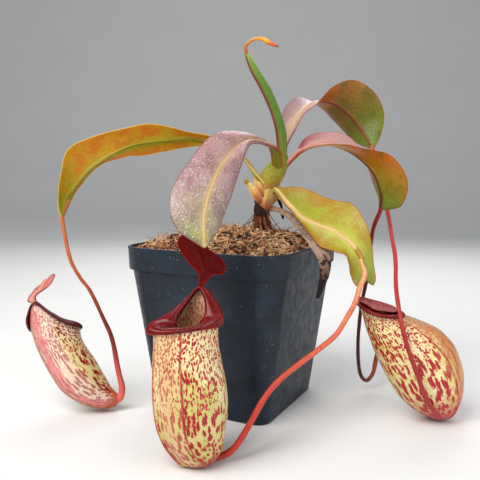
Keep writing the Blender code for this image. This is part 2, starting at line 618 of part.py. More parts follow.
class Pitcher:
    """Rings of one pitcher, each made from its place along the body and an angle."""

    def __init__(self, shape):
        self.centres = [at(*ring[0]) for ring in shape["rings"]]
        self.widths = [ring[1] for ring in shape["rings"]]
        self.depths = [ring[2] for ring in shape["rings"]]
        self.front = at(*shape["front"]).normalized()
        self.side = at(*shape["side"]).normalized()
        self.mouth_normal = self.front.cross(self.side).normalized()
        if self.mouth_normal.z < 0:
            self.mouth_normal = -self.mouth_normal
        self.rise = shape["rise"]
        self.lip = shape["lip"]
        self.wings = shape["wings"]
        plain = [angle for angle in range(-180, 180, RING_STEP)
                 if all(abs(angle - wing) > WING_FOOT + 4 for wing in self.wings)]
        winged = [wing + step for wing in self.wings for step in (-WING_FOOT, 0, WING_FOOT)]
        self.angles = sorted(plain + winged)

    def frame(self, share):
        """Centre, side and front directions, and how far the ring has turned to the mouth."""
        centre = on_curve(self.centres, share)
        before = on_curve(self.centres, max(share - 0.03, 0.0))
        after = on_curve(self.centres, min(share + 0.03, 1.0))
        axis = (after - before).normalized()
        turned = max(0.0, (share - TURN_START) / (1 - TURN_START))
        turned = turned * turned * (3 - 2 * turned)
        front = (self.front - self.front.dot(axis) * axis).normalized()
        side = (self.side - self.side.dot(axis) * axis)
        side = (side - side.dot(front) * front).normalized()
        front = front.lerp(self.front, turned)
        side = side.lerp(self.side, turned)
        return centre, side, front, turned

    def point(self, share, angle, inset=0.0, wings=True):
        """A point of the wall, its angle in degrees from the front."""
        centre, side, front, turned = self.frame(share)
        width = on_values(self.widths, share) - inset
        depth = on_values(self.depths, share) - inset
        around = math.radians(angle)
        back = (1 - math.cos(around)) / 2
        pinch = 1 - NECK_PINCH * turned * back ** 3
        if wings and angle in self.wings:
            ridge = WING_HEIGHT * math.sin(math.pi * min(1.0, share / WING_END)) ** 0.5
            width += ridge
            depth += ridge
        level = math.sin(around) if math.cos(around) < 0 else 1.0
        arm = (math.hypot(level, APEX_ROUND) - APEX_ROUND) / (math.hypot(1.0, APEX_ROUND) - APEX_ROUND)
        rise = self.rise * turned * ((1 - ARM_SHARE) * back ** 1.6 + ARM_SHARE * (1 - arm))
        place = (centre + side * width * math.sin(around) * pinch * MM
                 + front * depth * math.cos(around) * MM
                 + Vector((0.0, 0.0, rise * MM)))
        rest = (REST_LEVEL + inset) * MM
        over = place.z - rest
        place.z = rest + (over + math.hypot(over, REST_EASE * MM)) / 2
        return place

    def rim(self, angle):
        """The middle of the wall's edge, with the directions up from it and outward."""
        edge = self.point(1.0, angle, CUP_WALL / 2, wings=False)
        below = self.point(0.9, angle, CUP_WALL / 2, wings=False)
        along = self.point(1.0, angle + 2, CUP_WALL / 2, wings=False) - edge
        up = ((edge - below).normalized() + self.mouth_normal).normalized()
        outward = along.cross(up).normalized()
        inside = self.point(1.0, angle, CUP_WALL, wings=False)
        if outward.dot(edge - inside) < 0:
            outward = -outward
        return edge, up, outward

    def ring(self, share, inset=0.0, wings=True):
        return [self.point(share, angle, inset, wings) for angle in self.angles]


def make_cup(name, pitcher, material):
    """A hollow cup: outer wall up to the mouth, then the inner wall down to its floor."""
    rings = [pitcher.ring(step / OUTER_RINGS) for step in range(OUTER_RINGS + 1)]
    for step in range(INNER_RINGS + 1):
        share = 1 - (1 - CUP_FLOOR) * step / INNER_RINGS
        inset = CUP_WALL + (FLOOR_INSET if step == INNER_RINGS else 0.0)
        rings.append(pitcher.ring(share, inset, wings=False))
    return loft(name, rings, material)


def make_lip(name, pitcher, material):
    """A rolled, ribbed ring on the cup's rim, thinner where it climbs to the neck."""
    steps = 2 * LIP_RIBS
    points = []
    for step in range(steps):
        angle = 360 * step / steps
        back = (1 - math.cos(math.radians(angle))) / 2
        swell = LIP_SWELL * back * math.sin(math.radians(angle)) ** 2
        size = pitcher.lip * (1 + swell - (1 - LIP_NECK) * back ** 6)
        rib = LIP_RELIEF if step % 2 else -LIP_RELIEF
        rim, up, outward = pitcher.rim(angle)
        middle = Vector((-0.9, 0.4))
        for index, (out, high) in enumerate(LIP_SECTION):
            place = Vector((out, high))
            if high > LIP_REST or out > 2:
                place = place + (place - middle).normalized() * rib
            place = place * size
            if index == 0:
                place.x *= 1 - 0.5 * back ** 2
                place.y += (0.8 - place.y) * back ** 2
            elif high == LIP_REST:
                place.y = LIP_REST
            elif high < 0:
                place.x = max(place.x, LIP_CLEAR + 0.4 * (index - 3))
            points.append(rim + (outward * place.x + up * place.y) * MM)
    count = len(LIP_SECTION)
    faces = []
    for step in range(steps):
        following = (step + 1) % steps
        for index in range(count):
            beside = (index + 1) % count
            faces.append((step * count + index, step * count + beside, following * count + beside))
            faces.append((step * count + index, following * count + beside, following * count + index))
    return make_object(name, points, faces, material)


def seat_on_leaf(leaf_name, route, radii):
    """Open the leaf's tip to take its tendril."""
    socket = tube("clearance", route, radii, None, steps=34, grow=GAP)
    combine(bpy.data.objects[leaf_name], [socket], "DIFFERENCE", "MANIFOLD")


def make_pitcher(suffix, shape, lid_rows, leaf_name, tendril_route, tendril_radii, cup_finish, lip_finish,
                 lid_finish, tendril_finish):
    pitcher = Pitcher(shape)
    make_cup("pitcher_cup_" + suffix, pitcher, cup_finish)
    make_lip("pitcher_lip_" + suffix, pitcher, lip_finish)
    edge, up, outward = pitcher.rim(180)
    seat = edge + up * (LIP_CREST * LIP_NECK * pitcher.lip + 2 * GAP) * MM
    beside = up.cross(outward) * LID_STALK / 2 * MM
    if beside.dot(at(*lid_rows[0][0]) - at(*lid_rows[0][1])) < 0:
        beside = -beside
    blade("pitcher_lid_" + suffix, lid_rows, lid_finish, stations=8, bow=0.8, wave=0.0,
          base=1.4, rib=1.5, tip=0.9, seat=(seat + beside, seat, seat - beside))
    tendril = tube("tendril_" + suffix, tendril_route, tendril_radii, tendril_finish, steps=34)
    skin = [pitcher.ring(step / OUTER_RINGS, -GAP) for step in range(OUTER_RINGS + 1)]
    back_off = (pitcher.centres[0] - pitcher.centres[1]).normalized() * GAP * MM
    skin.insert(0, [point + back_off for point in skin[0]])
    combine(tendril, [loft("clearance", skin, None)], "DIFFERENCE", "MANIFOLD")
    seat_on_leaf(leaf_name, tendril_route, tendril_radii)


def make_pitchers():
    cream = finish_material("pitcher_cream", (0.55, 0.38, 0.16), 0.35)
    crimson = finish_material("lip_crimson", (0.22, 0.005, 0.012), 0.18)
    maroon = finish_material("lip_maroon", (0.07, 0.008, 0.02), 0.25)
    blood = finish_material("lid_blood", (0.11, 0.004, 0.006), 0.35)
    rose = finish_material("lid_rose", (0.42, 0.13, 0.14), 0.40)
    coral = finish_material("tendril_coral", (0.45, 0.09, 0.05), 0.40)
    wine = finish_material("tendril_wine", (0.10, 0.012, 0.010), 0.40)
    make_pitcher("front", PITCHER_FRONT, LID_FRONT, "leaf_low_right", TENDRIL_FRONT, TENDRIL_RADII,
                 cream, crimson, blood, coral)
    make_pitcher("left", PITCHER_LEFT, LID_LEFT, "leaf_left", TENDRIL_LEFT, LEFT_TENDRIL_RADII,
                 cream, maroon, rose, coral)
    make_pitcher("right", PITCHER_RIGHT, LID_RIGHT, "leaf_back", TENDRIL_BACK, TENDRIL_RADII,
                 cream, maroon, rose, coral)
    tube("pitcher_young", PITCHER_YOUNG_ROUTE, PITCHER_YOUNG_RADII, cream, steps=12, sides=10)
    young = tube("clearance", PITCHER_YOUNG_ROUTE, PITCHER_YOUNG_RADII, None, steps=12, sides=10, grow=GAP)
    dark = tube("tendril_young", TENDRIL_RIGHT, DARK_TENDRIL_RADII, wine, steps=38)
    combine(dark, [young], "DIFFERENCE", "MANIFOLD")
    seat_on_leaf("leaf_right", TENDRIL_RIGHT, DARK_TENDRIL_RADII)


def main():
    clear_scene()
    make_pot()
    make_soil()
    make_stem()
    make_leaves()
    make_pitchers()


main()
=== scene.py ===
import json
import math
import random

import bpy
import numpy as np
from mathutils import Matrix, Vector, noise

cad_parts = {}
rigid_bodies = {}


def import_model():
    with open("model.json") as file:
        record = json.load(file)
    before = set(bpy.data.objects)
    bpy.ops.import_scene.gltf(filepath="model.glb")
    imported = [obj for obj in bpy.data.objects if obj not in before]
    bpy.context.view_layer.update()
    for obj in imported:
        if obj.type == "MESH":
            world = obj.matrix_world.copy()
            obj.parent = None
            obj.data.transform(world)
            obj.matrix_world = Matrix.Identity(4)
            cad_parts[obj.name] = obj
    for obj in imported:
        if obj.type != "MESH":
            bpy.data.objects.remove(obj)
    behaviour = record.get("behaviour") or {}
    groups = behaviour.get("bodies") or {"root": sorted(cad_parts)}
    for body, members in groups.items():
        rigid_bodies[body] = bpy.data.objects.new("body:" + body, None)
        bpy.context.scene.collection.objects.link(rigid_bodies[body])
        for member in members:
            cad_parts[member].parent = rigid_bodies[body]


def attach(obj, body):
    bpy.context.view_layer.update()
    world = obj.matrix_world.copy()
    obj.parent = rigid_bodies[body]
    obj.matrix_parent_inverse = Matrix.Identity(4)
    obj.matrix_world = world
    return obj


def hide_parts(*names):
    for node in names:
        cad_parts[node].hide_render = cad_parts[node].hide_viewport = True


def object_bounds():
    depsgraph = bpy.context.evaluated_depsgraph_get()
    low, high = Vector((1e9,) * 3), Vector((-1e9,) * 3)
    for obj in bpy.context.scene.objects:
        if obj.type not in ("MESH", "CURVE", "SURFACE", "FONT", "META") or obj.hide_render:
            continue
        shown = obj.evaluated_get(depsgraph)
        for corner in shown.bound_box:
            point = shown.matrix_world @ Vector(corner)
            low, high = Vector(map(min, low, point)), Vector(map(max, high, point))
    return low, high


# Looks of the potted tropical pitcher plant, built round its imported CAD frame.
# Plant points are drawn as in the CAD source: x right, y back, z up, in millimetres,
# seen from one side of the pot's front corner and turned by PLANT_TURN into the frame.
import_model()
FIRST_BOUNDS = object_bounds()

MM = 0.001
PLANT_TURN = math.radians(27.3)
DEEPEN = 1.22    # power that makes the colours hold up in the pale studio light

# Pot and potting mix, in millimetres
POT_HEIGHT = 94.5
POT_RIM = 100.0
POT_UNDER_RIM = 95.0
POT_BASE = 72.5
POT_RIM_BAND = 13.0
POT_BAND_FOOT = POT_HEIGHT - POT_RIM_BAND
POT_WALL = 1.6
POT_FLOOR = 2.5
POT_CORNER_TOP = 15.0
POT_CORNER_BASE = 8.0
POT_EDGE = 0.6    # radius of the rounded edge round the pot's base
POT_SHARP = math.radians(32)    # faces that meet at more than this show an edge
DRAIN_HOLE = 4.0
DRAIN_PLACE = 22.0
DRAIN_SIDES = 24
SOIL_EDGE = 90.5
SOIL_CROWN = 101.0
SOIL_ROUGHNESS = 1.6

# Leaf stations from base to tip: left edge, midrib, right edge
LEAF_LEFT = (
    ((18, -1, 129), (18, 2, 127), (18, 4, 126)),
    ((10, -5, 138), (11, -3, 136), (12, -2, 135)),
    ((2, -8, 147), (4, -6, 145), (6, -4, 143)),
    ((-9, -12, 155), (-8, -9, 151), (-7, -6, 148)),
    ((-28, -20, 159), (-24, -13, 154), (-22, -8, 151)),
    ((-45, -24, 162), (-41, -16, 153), (-39, -11, 148)),
    ((-62, -26, 159), (-55, -18, 151), (-52, -13, 145)),
    ((-78, -27, 155), (-67, -20, 146), (-63, -13, 144)),
    ((-91, -28, 148), (-80, -20, 138), (-77, -13, 140)),
    ((-95, -28, 133), (-90, -20, 127), (-86, -13, 131)),
    ((-98, -24, 118), (-96, -20, 117), (-93, -16, 119)),
    ((-98, -21, 112), (-97, -20, 112), (-96, -19, 112)),
)
LEAF_FRONT = (
    ((22, 3, 134), (25, 3, 134), (28, 3, 134)),
    ((19.5, -7, 149), (23, -8.5, 148.5), (26.5, -8, 147)),
    ((12.5, -21, 155.5), (15, -19.5, 153), (17.5, -18, 150.5)),
    ((0, -40, 157), (5, -38, 152), (9, -34, 151)),
    ((-12, -54, 154), (-2, -53, 146), (5, -50, 145)),
    ((-22, -70, 141), (-8, -66, 138), (1, -62, 134)),
    ((-29, -80, 129), (-12, -76, 128), (-2, -71, 124)),
    ((-30, -85, 119), (-14, -83, 120), (-5, -77, 117)),
    ((-26, -88, 110), (-15, -87, 111), (-8, -83, 110)),
    ((-16, -90, 103), (-14, -90, 102), (-12, -89, 103)),
)
LEAF_LOW = (
    ((21, 4, 129), (21, 2, 128), (21, 1, 126)),
    ((28, 1, 127), (26, -3, 124), (25, -6, 122)),
    ((36, 0, 127), (32, -9, 117), (31, -12, 115)),
    ((44, -3, 125), (38, -15, 111), (36, -19, 108)),
    ((51, -7, 122), (43, -19, 108), (41, -25, 102)),
    ((59, -11, 120), (48, -23, 106), (46, -31, 96)),
    ((66, -17, 118), (54, -27, 104), (53, -37, 94)),
    ((71, -25, 110), (60, -31, 100), (59, -38, 91)),
    ((74, -31, 100), (65, -35, 95), (61, -37, 84)),
    ((75.5, -33, 90), (68, -37.5, 89), (62.5, -37, 79.5)),
    ((76, -36, 78.5), (69, -40, 81.5), (63, -38, 77)),
    ((73.8, -38, 75.2), (69, -40.3, 79.6), (65.6, -39, 74.2)),
)
LEAF_RIGHT = (
    ((26, 4, 138), (27, 3, 137), (28, 2, 136)),
    ((35, 3, 147), (36, 1, 147), (37, -1, 146)),
    ((42, 9, 156), (42, -1, 151), (43, -9, 150)),
    ((53, 13, 160), (50, -4, 153), (53, -15, 151)),
    ((64, 12, 160), (60, -7, 151), (63, -19, 151)),
    ((71, 8, 155), (68, -9, 147), (74, -22, 149)),
    ((75, 2, 146), (74, -11, 142), (84, -23, 146)),
    ((78, -3, 138), (79, -13, 136), (92, -23, 138)),
    ((81, -6, 129), (82, -14, 129), (96, -22, 128)),
    ((83, -10, 121), (84, -14, 121), (94, -16, 117)),
    ((82, -12, 114), (83, -13, 114), (84, -13, 114)),
)
LEAF_BACK = (
    ((25, 6, 138), (26, 6, 138), (27, 6, 138)),
    ((27, 12, 151), (29, 11, 151), (31, 10, 151)),
    ((28, 19, 168), (34, 14, 164), (38, 10, 165)),
    ((33, 27, 179), (39, 19, 172), (43, 13, 172)),
    ((42, 36, 184), (47, 26, 179), (50, 19, 178)),
    ((53, 43, 180), (57, 33, 181), (60, 27, 189)),
    ((63, 46, 171), (65, 37, 179), (74, 31, 194)),
    ((71, 45, 163), (73, 38, 173), (88, 33, 187)),
    ((77, 42, 157), (80, 37, 165), (95, 34, 174)),
    ((82, 37, 153), (85, 33, 157), (93, 31, 160)),
    ((86, 30, 151), (87, 30, 151), (88, 29, 151)),
)
LEAF_DEAD = (
    ((16, 4, 115), (16, 3, 113), (16, 2, 112)),
    ((22, 1, 116), (22, 0, 114), (23, -1, 113)),
    ((29, -3, 114), (28, -5, 112), (28, -7, 111)),
    ((36, -9, 110), (35, -12, 108), (33, -15, 107)),
    ((43, -19, 104), (40, -21, 101), (37, -24, 101)),
    ((49, -27, 97), (45, -29, 95), (41, -32, 96)),
    ((52, -31, 90), (48, -33, 89), (45, -34, 88)),
    ((52, -32, 82), (49, -34, 81), (46, -34, 81)),
    ((48, -32, 72), (47, -33, 72), (45, -33, 72)),
    ((46, -32, 67), (45, -32, 67), (44, -32, 67)),
)

# Scales of old leaf bases round the stem, from base to tip
SHEATHS = (
    (((13.5, -1.2, 117.5), (15, -1.8, 118.5), (16.8, -1.6, 119.5)),
     ((10.5, -1.6, 121), (12, -2.6, 122.5), (14, -2.2, 124)),
     ((8, -1.2, 125), (9.4, -2.2, 126.5), (11.4, -1.8, 127.6)),
     ((6.4, -0.6, 128.6), (7, -1.2, 130), (8.6, -1.0, 130.6))),
    (((15, -1.4, 121), (16.4, -2.0, 121.5), (18, -1.6, 122)),
     ((12.4, -1.6, 125.5), (14, -2.6, 126.5), (16, -2.2, 127)),
     ((11, -1.2, 130), (12.4, -2.0, 130.6), (14, -1.4, 131)),
     ((10.6, -0.6, 133.6), (11.2, -1, 134.2), (12.2, -0.8, 133.8))),
    (((13.2, 0.2, 113.5), (17, -1.8, 113), (20.8, 0.4, 113.5)),
     ((12.8, -0.4, 117.5), (17.4, -2.8, 117.5), (22, -0.2, 118)),
     ((14.6, -0.8, 122), (18.6, -3.4, 122), (22.8, -0.8, 122.5)),
     ((17, -1.6, 126.2), (19.6, -3.4, 127.2), (22.2, -1.8, 126.4))),
    (((19, 0, 115), (21, 0.2, 116), (22.4, 1.6, 117)),
     ((21, -0.6, 119.5), (23.6, 0, 120), (25.2, 1.6, 120.4)),
     ((22.6, 0, 124), (25.2, 0.4, 124.6), (26.6, 2, 124.4)),
     ((25, 1, 128), (26.2, 1.4, 128.6), (26.8, 2.2, 127.6))),
)
DARK_SHEATH = (
    ((11.2, 1, 111), (13.5, -1.8, 111), (17.5, -1.8, 111)),
    ((11, 0, 114.2), (13.2, -2.4, 114.8), (17.4, -2.4, 114)),
    ((11.2, -0.6, 116.2), (12.6, -2.6, 118.4), (15, -2.8, 115.8)),
)

# Thick roots: turn round the stem, height of the top, reach, radius
THICK_ROOTS = ((-2.6, 115, 3.5, 1.3), (-2.1, 112, 2.6, 1.5), (-1.6, 113, 3.2, 1.1), (-1.0, 111, 4.5, 1.2),
               (-0.4, 112, 3.0, 1.0), (2.9, 110, 4.0, 1.2), (0.6, 110, 4.0, 1.1), (1.8, 111, 3.0, 1.2))

# Routes of the stem, the tendrils and the thin pieces
STEM_ROUTE = ((15, 4, 88), (16, 4, 100), (16, 4, 112), (16, 4, 120), (18, 4, 127),
              (22, 4, 134), (26, 4, 140), (28, 4, 145))
STEM_RADII = (4.4, 4.4, 4.2, 4.8, 6.0, 6.6, 5.6, 3.4)
STUB_UPPER = ((16, 4, 126), (13, 3, 131), (12, 3, 135))
STUB_LOWER = ((16, 4, 121), (10, 2, 127), (6, 1, 131))
SPEAR_ROUTE = ((28, 4, 138), (27, 2, 157), (24, 1, 169), (18, 0, 183), (11, 0, 195), (7, 0, 203))
SPEAR_RADII = (2.6, 3.2, 2.9, 3.0, 2.6, 1.5)
SPEAR_TENDRIL = ((6.6, 0, 203.8), (6, 0, 208), (9, -1, 211), (12, -2, 212), (16, -3, 211.5),
                 (19, -4, 209.5), (24, -6, 207))
SPEAR_TENDRIL_RADII = (1.0, 1.0, 0.9, 0.9, 1.1, 1.5, 0.6)
STRIP_ROUTE = ((17, 5, 122), (22, 7, 122), (26, 9, 119), (28, 10, 115), (29, 11, 108))

TENDRIL_LEFT = ((-97, -20, 112), (-96, -20, 101), (-93, -21, 87), (-88, -21, 77), (-82, -22, 69),
                (-75, -23, 54), (-70, -24, 42), (-67, -24, 24), (-65, -24, 14), (-66, -24, 8),
                (-70, -24, 6))
TENDRIL_FRONT = ((69, -40.3, 81.5), (66, -44, 76), (62, -50, 68), (57, -56, 62), (50.7, -60.5, 54.1),
                 (41, -66, 47.9), (30.5, -72, 42.2), (22.8, -77, 37.9), (17.3, -80, 33.5),
                 (12.4, -83, 27.8), (7.7, -85.5, 20), (3.6, -87, 13.3), (-0.6, -88, 7.6),
                 (-5, -88, 4.2), (-8.5, -88, 3.2))
TENDRIL_BACK = ((87, 30, 151), (88, 22, 139), (90, 10, 122), (91, 0, 110), (90, -14, 98),
                (89, -26, 88), (86, -40, 75), (85, -50, 66), (86, -56, 55), (89, -58, 44),
                (93.6, -58, 32), (98.2, -56, 21), (103.2, -52.5, 12.4), (107.3, -49, 8),
                (110.5, -45.5, 4.8), (113, -41, 3.4))
TENDRIL_RIGHT = ((83, -13, 114), (81, -10, 107), (80, -8, 101), (79, -6, 88), (78, -4, 72),
                 (76, -1, 57), (75, 1, 40), (75, 2, 28), (76, 3, 17), (78, 4, 10), (82, 6, 7),
                 (86, 8, 11), (88, 10, 18), (90, 12, 25))
TENDRIL_RADII = (1.45, 1.35, 1.35, 1.45, 1.55, 1.7)
BACK_TENDRIL_RADII = (1.4, 1.2, 1.15, 1.2, 1.3, 1.6)
LEFT_TENDRIL_RADII = (1.3, 1.15, 1.05, 1.0, 1.1, 1.35, 1.65, 1.95, 2.2)
DARK_TENDRIL_RADII = (1.3, 1.1, 1.1, 1.1, 1.2, 1.6)

# Pitcher stations from the bottom up: centre of the ring, half width, half depth.
# Mouth: direction of the low front lip, direction of its right side, rise at the neck.
PITCHER_FRONT = {
    "rings": (((-11.5, -88, 0.7), 3.2, 3.2), ((-12.5, -88, 2.0), 7.2, 6.8), ((-14.2, -88, 4.6), 10.2, 9.6),
              ((-16.6, -88, 8.6), 13.0, 12.2), ((-18.9, -88, 14.8), 15.4, 14.6),
              ((-20.4, -88, 21.8), 17.2, 16.0), ((-20.9, -88, 29.4), 18.0, 16.6),
              ((-21.4, -88, 37.5), 18.0, 16.6), ((-22.4, -88, 50.4), 16.4, 15.2),
              ((-22.4, -88, 57.5), 16.1, 14.4), ((-22.4, -88, 65.4), 16.3, 14.0)),
    "front": (-0.44, -0.90, 0.06), "side": (0.90, -0.44, 0.18), "rise": 16.0, "lip": 1.05,
    "wings": (-38, 18),
}
PITCHER_LEFT = {
    "rings": (((-68, -24, 6.0), 3.2, 3.2), ((-71, -24, 6.6), 5.2, 5.2), ((-76, -24, 8.4), 7.6, 7.6),
              ((-82, -24, 12.8), 10.2, 10.2), ((-89, -24, 20), 12.6, 12.6), ((-95, -23.5, 28), 12.9, 12.9),
              ((-100, -22.5, 36), 13.2, 13.2), ((-103, -20.5, 42), 13.4, 13.2),
              ((-104, -19, 46.5), 13.6, 13.2)),
    "front": (0.55, 0.80, -0.25), "side": (0.91, -0.36, 0.22), "rise": 14.0, "lip": 0.62,
    "wings": (-30, 30),
}
PITCHER_RIGHT = {
    "rings": (((113.8, -38, 0.8), 3.0, 3.0), ((113.6, -38, 2.6), 6.5, 6.4), ((112.6, -38, 6.6), 10.5, 10.6),
              ((110.6, -38, 12.4), 13.2, 15.0), ((106.8, -38, 21.5), 15.6, 19.0),
              ((101, -38, 33), 16.5, 20.8), ((94.2, -38, 42.8), 16.5, 20.4), ((88, -38, 51), 15.0, 18.4),
              ((82.5, -38, 57.5), 13.4, 14.8), ((78, -38, 60.8), 12.6, 12.2)),
    "front": (0.99, 0.0, -0.12), "side": (0.0, -1.0, 0.0), "rise": 3.5, "lip": 0.62,
    "wings": (-15, 58),
}
PITCHER_YOUNG_ROUTE = ((89, 11, 22), (91, 12.5, 26), (94, 13, 31), (95.5, 13, 37), (96, 13, 42),
                       (95, 13, 46))
PITCHER_YOUNG_RADII = (1.4, 2.6, 4.2, 4.6, 4.0, 1.6)

LID_FRONT = (
    ((-18, -75.7, 88.3), (-14.9, -75.2, 88.8), (-10.8, -74.7, 87.3)),
    ((-22.6, -74.7, 93.4), (-15.4, -73.1, 92.9), (-6, -73.6, 87.3)),
    ((-26.7, -72.6, 99.1), (-16.4, -71.6, 96), (-4.9, -72.1, 91.4)),
    ((-27.7, -71.6, 103.2), (-18, -70.6, 99.1), (-7.7, -70.6, 95.5)),
    ((-25.1, -70.6, 106.8), (-19, -70, 101.6), (-12.3, -70, 98.5)),
    ((-22.1, -70, 106.2), (-19.5, -70, 103.7), (-15.9, -70, 100.6)),
)
LID_LEFT = (
    ((-115, -29, 64.5), (-113, -29, 67), (-110, -29, 68.5)),
    ((-116.5, -25, 65), (-111, -24, 70), (-104.5, -24, 73)),
    ((-117, -19, 66.5), (-111, -18, 71.5), (-103.5, -18, 75.5)),
    ((-116.5, -13, 68.5), (-111, -12, 73.5), (-105, -12, 77.5)),
    ((-113.5, -9, 71), (-111, -9, 73.5), (-108.5, -9, 75.5)),
)
LID_RIGHT = (
    ((67.5, -31, 67.2), (67.5, -38, 68.6), (67.5, -45, 67)),
    ((72.5, -27, 65.2), (72.5, -38, 67.4), (72.5, -50, 64.8)),
    ((78.5, -26.5, 63.9), (78.5, -38, 65.8), (78.5, -50.6, 63.7)),
    ((84, -29.5, 63), (84, -38, 64), (84, -47, 62.8)),
    ((87, -35, 62.3), (87, -38, 62.6), (87, -41, 62.2)),
)

WING_HEIGHT = 1.1
WING_END = 0.94
WING_SPREAD = 2.4    # degrees over which a wing's crest falls away
TURN_START = 0.45
NECK_PINCH = 0.30
APEX_ROUND = 0.35
ARM_SHARE = 0.8
REST_LEVEL = 0.3    # lowest that a pitcher's wall comes to the floor
REST_EASE = 1.0
CUP_WALL = 1.2
CUP_FLOOR = 0.20
LIP_CREST = 2.3
LIP_NECK = 0.65
LIP_SWELL = 0.35
LIP_CLEAR = 1.1
LIP_TEETH = 0.22
LIP_REST = 0.5
LID_STALK = 2.4
STEPS_PER_RIB = 6
LIP_POINTS = 30
LIP_CENTRE = (-0.9, 0.4)
LIP_SECTION = ((-4.4, -1.3), (-1.6, LIP_REST), (1.0, LIP_REST), (1.6, -0.8), (2.4, -1.3), (2.7, -0.1),
               (1.6, 1.7), (-1.8, LIP_CREST))

# Leaf blades, in millimetres
STALK_WIDTH = 5.0    # as wide as this a blade is still a stalk
OPEN_WIDTH = 14.0    # from this width on it is an open blade
BLADE_THICKNESS = 0.55
RIB_ON_TOP = 0.30

# Rounded ends of tubes: sizes of the two rings past the end, and how far they bulge
CAP_SIZES = (0.85, 0.45)
CAP_BULGE = 0.8

# Skins: how far light spreads inside them, in millimetres, and the polish of a coat
SOFT_RADIUS = (1.2, 0.5, 0.25)
CUP_SOFT_RADIUS = (1.2, 0.6, 0.3)
COAT_ROUGHNESS = 0.10
DARK_OLIVE = (0.02, 0.02, 0.0, 1.0)

CHIPS = (1500, 3400)
FIBRES = (700, 1900)
CHIP_REACH = 47    # half the width of the square that chips are dropped on
FIBRE_REACH = 46
STEM_CLEAR = 5.0    # how far the chips stay from the stem's middle
PERLITE_SHARE = 0.06
PERLITE_LIMIT = 1.9    # largest white grain
DARK_SHARE = 0.45
LYING_SHARE = 0.86    # share of the fibres that lie almost flat
# Chips: share of draws up to here, least and greatest size, greatest length, least and greatest thickness
CHIP_SIZES = ((0.62, 0.5, 1.1, 2.2, 0.5, 1), (0.95, 0.9, 1.7, 2.0, 0.4, 0.9),
              (1.0, 1.6, 2.6, 1.9, 0.35, 0.7))
THIN_ROOTS = 46
ROOT_MIDDLE = (16, 4, 0)

# Studio and camera: places in millimetres. Lamps: name, place, aim, size in metres, power, colour
LAMPS = (
    ("key_light", (-330, -380, 620), (0, -20, 80), (0.5, 0.5), 6.5, (1.0, 0.98, 0.95)),
    ("fill_light", (560, -420, 330), (20, -20, 90), (0.7, 0.7), 2.4, (0.95, 0.97, 1.0)),
    ("back_light", (120, 560, 560), (0, 0, 120), (0.8, 0.4), 3.2, (1.0, 1.0, 1.0)),
)
SKY_COLOUR = (0.80, 0.83, 0.88, 1.0)
SKY_STRENGTH = 0.34
SWEEP_WIDTH = 4.0
SWEEP_LINE = ((-1.2, 0.0), (0.9, 0.0), (1.15, 0.03), (1.32, 0.14), (1.42, 0.34), (1.45, 0.7), (1.45, 2.4))
CAMERA_PLACE = (0, -360, 135.5)
CAMERA_TILT = math.radians(83.7)
CAMERA_PAN = math.radians(0.42)
CAMERA_LENS = 45.5
CAMERA_SENSOR = 36.0


# Geometry

def at(points):
    """Plant points in millimetres as places in the frame, in metres."""
    points = np.asarray(points, float)
    turn_cos = math.cos(PLANT_TURN)
    turn_sin = math.sin(PLANT_TURN)
    x = points[..., 0] * turn_cos - points[..., 1] * turn_sin
    y = points[..., 0] * turn_sin + points[..., 1] * turn_cos
    return np.stack((x, y, points[..., 2]), -1) * MM


def smooth_step(before, start, end, after, rest):
    """Values part of the way from start to end, on a curve that heeds the neighbours too."""
    return 0.5 * (2 * start + (end - before) * rest + (2 * before - 5 * start + 4 * end - after) * rest ** 2
                  + (3 * start - before - 3 * end + after) * rest ** 3)


def spline(values, shares):
    """Values at shares of the way along a smooth curve through all the given ones."""
    values = np.asarray(values, float)
    place = np.clip(shares, 0, 1) * (len(values) - 1)
    index = np.minimum(place.astype(int), len(values) - 2)
    rest = place - index
    if values.ndim > 1:
        rest = rest[:, None]
    return smooth_step(values[np.maximum(index - 1, 0)], values[index], values[index + 1],
                       values[np.minimum(index + 2, len(values) - 1)], rest)


def straight(values, shares):
    """Values at shares of the way along a list, read in straight steps."""
    return np.interp(shares, np.linspace(0, 1, len(values)), values)


def unit(vectors):
    length = np.linalg.norm(vectors, axis=-1, keepdims=True)
    return vectors / np.maximum(length, 1e-12)


def grid_normals(grid):
    return unit(np.cross(np.gradient(grid, axis=0), np.gradient(grid, axis=1)))


def grid_faces(rows, columns, start=0, closed=False, flip=False, ring=False):
    """Quads over a grid of points, which may close on itself across, and along in a ring."""
    row = np.arange(rows if ring else rows - 1)[:, None]
    column = np.arange(columns if closed else columns - 1)[None, :]
    below = (row + 1) % rows * columns
    beside = (column + 1) % columns
    row = row * columns
    corners = (row + column, row + beside, below + beside, below + column)
    faces = np.stack(corners, -1).reshape(-1, 4) + start
    return (faces[:, ::-1] if flip else faces).tolist()


def capped_faces(rows, columns, flip=False):
    """Faces over closed rings of points, with one face over each end."""
    first = list(range(columns))
    last = list(range((rows - 1) * columns, rows * columns))
    if flip:
        last.reverse()
    else:
        first.reverse()
    return grid_faces(rows, columns, closed=True, flip=flip) + [first, last]


# No point goes past the CAD box, less a hair
HAIR = 2e-6
LOW_CORNER = np.array(FIRST_BOUNDS[0]) + HAIR
HIGH_CORNER = np.array(FIRST_BOUNDS[1]) - HAIR


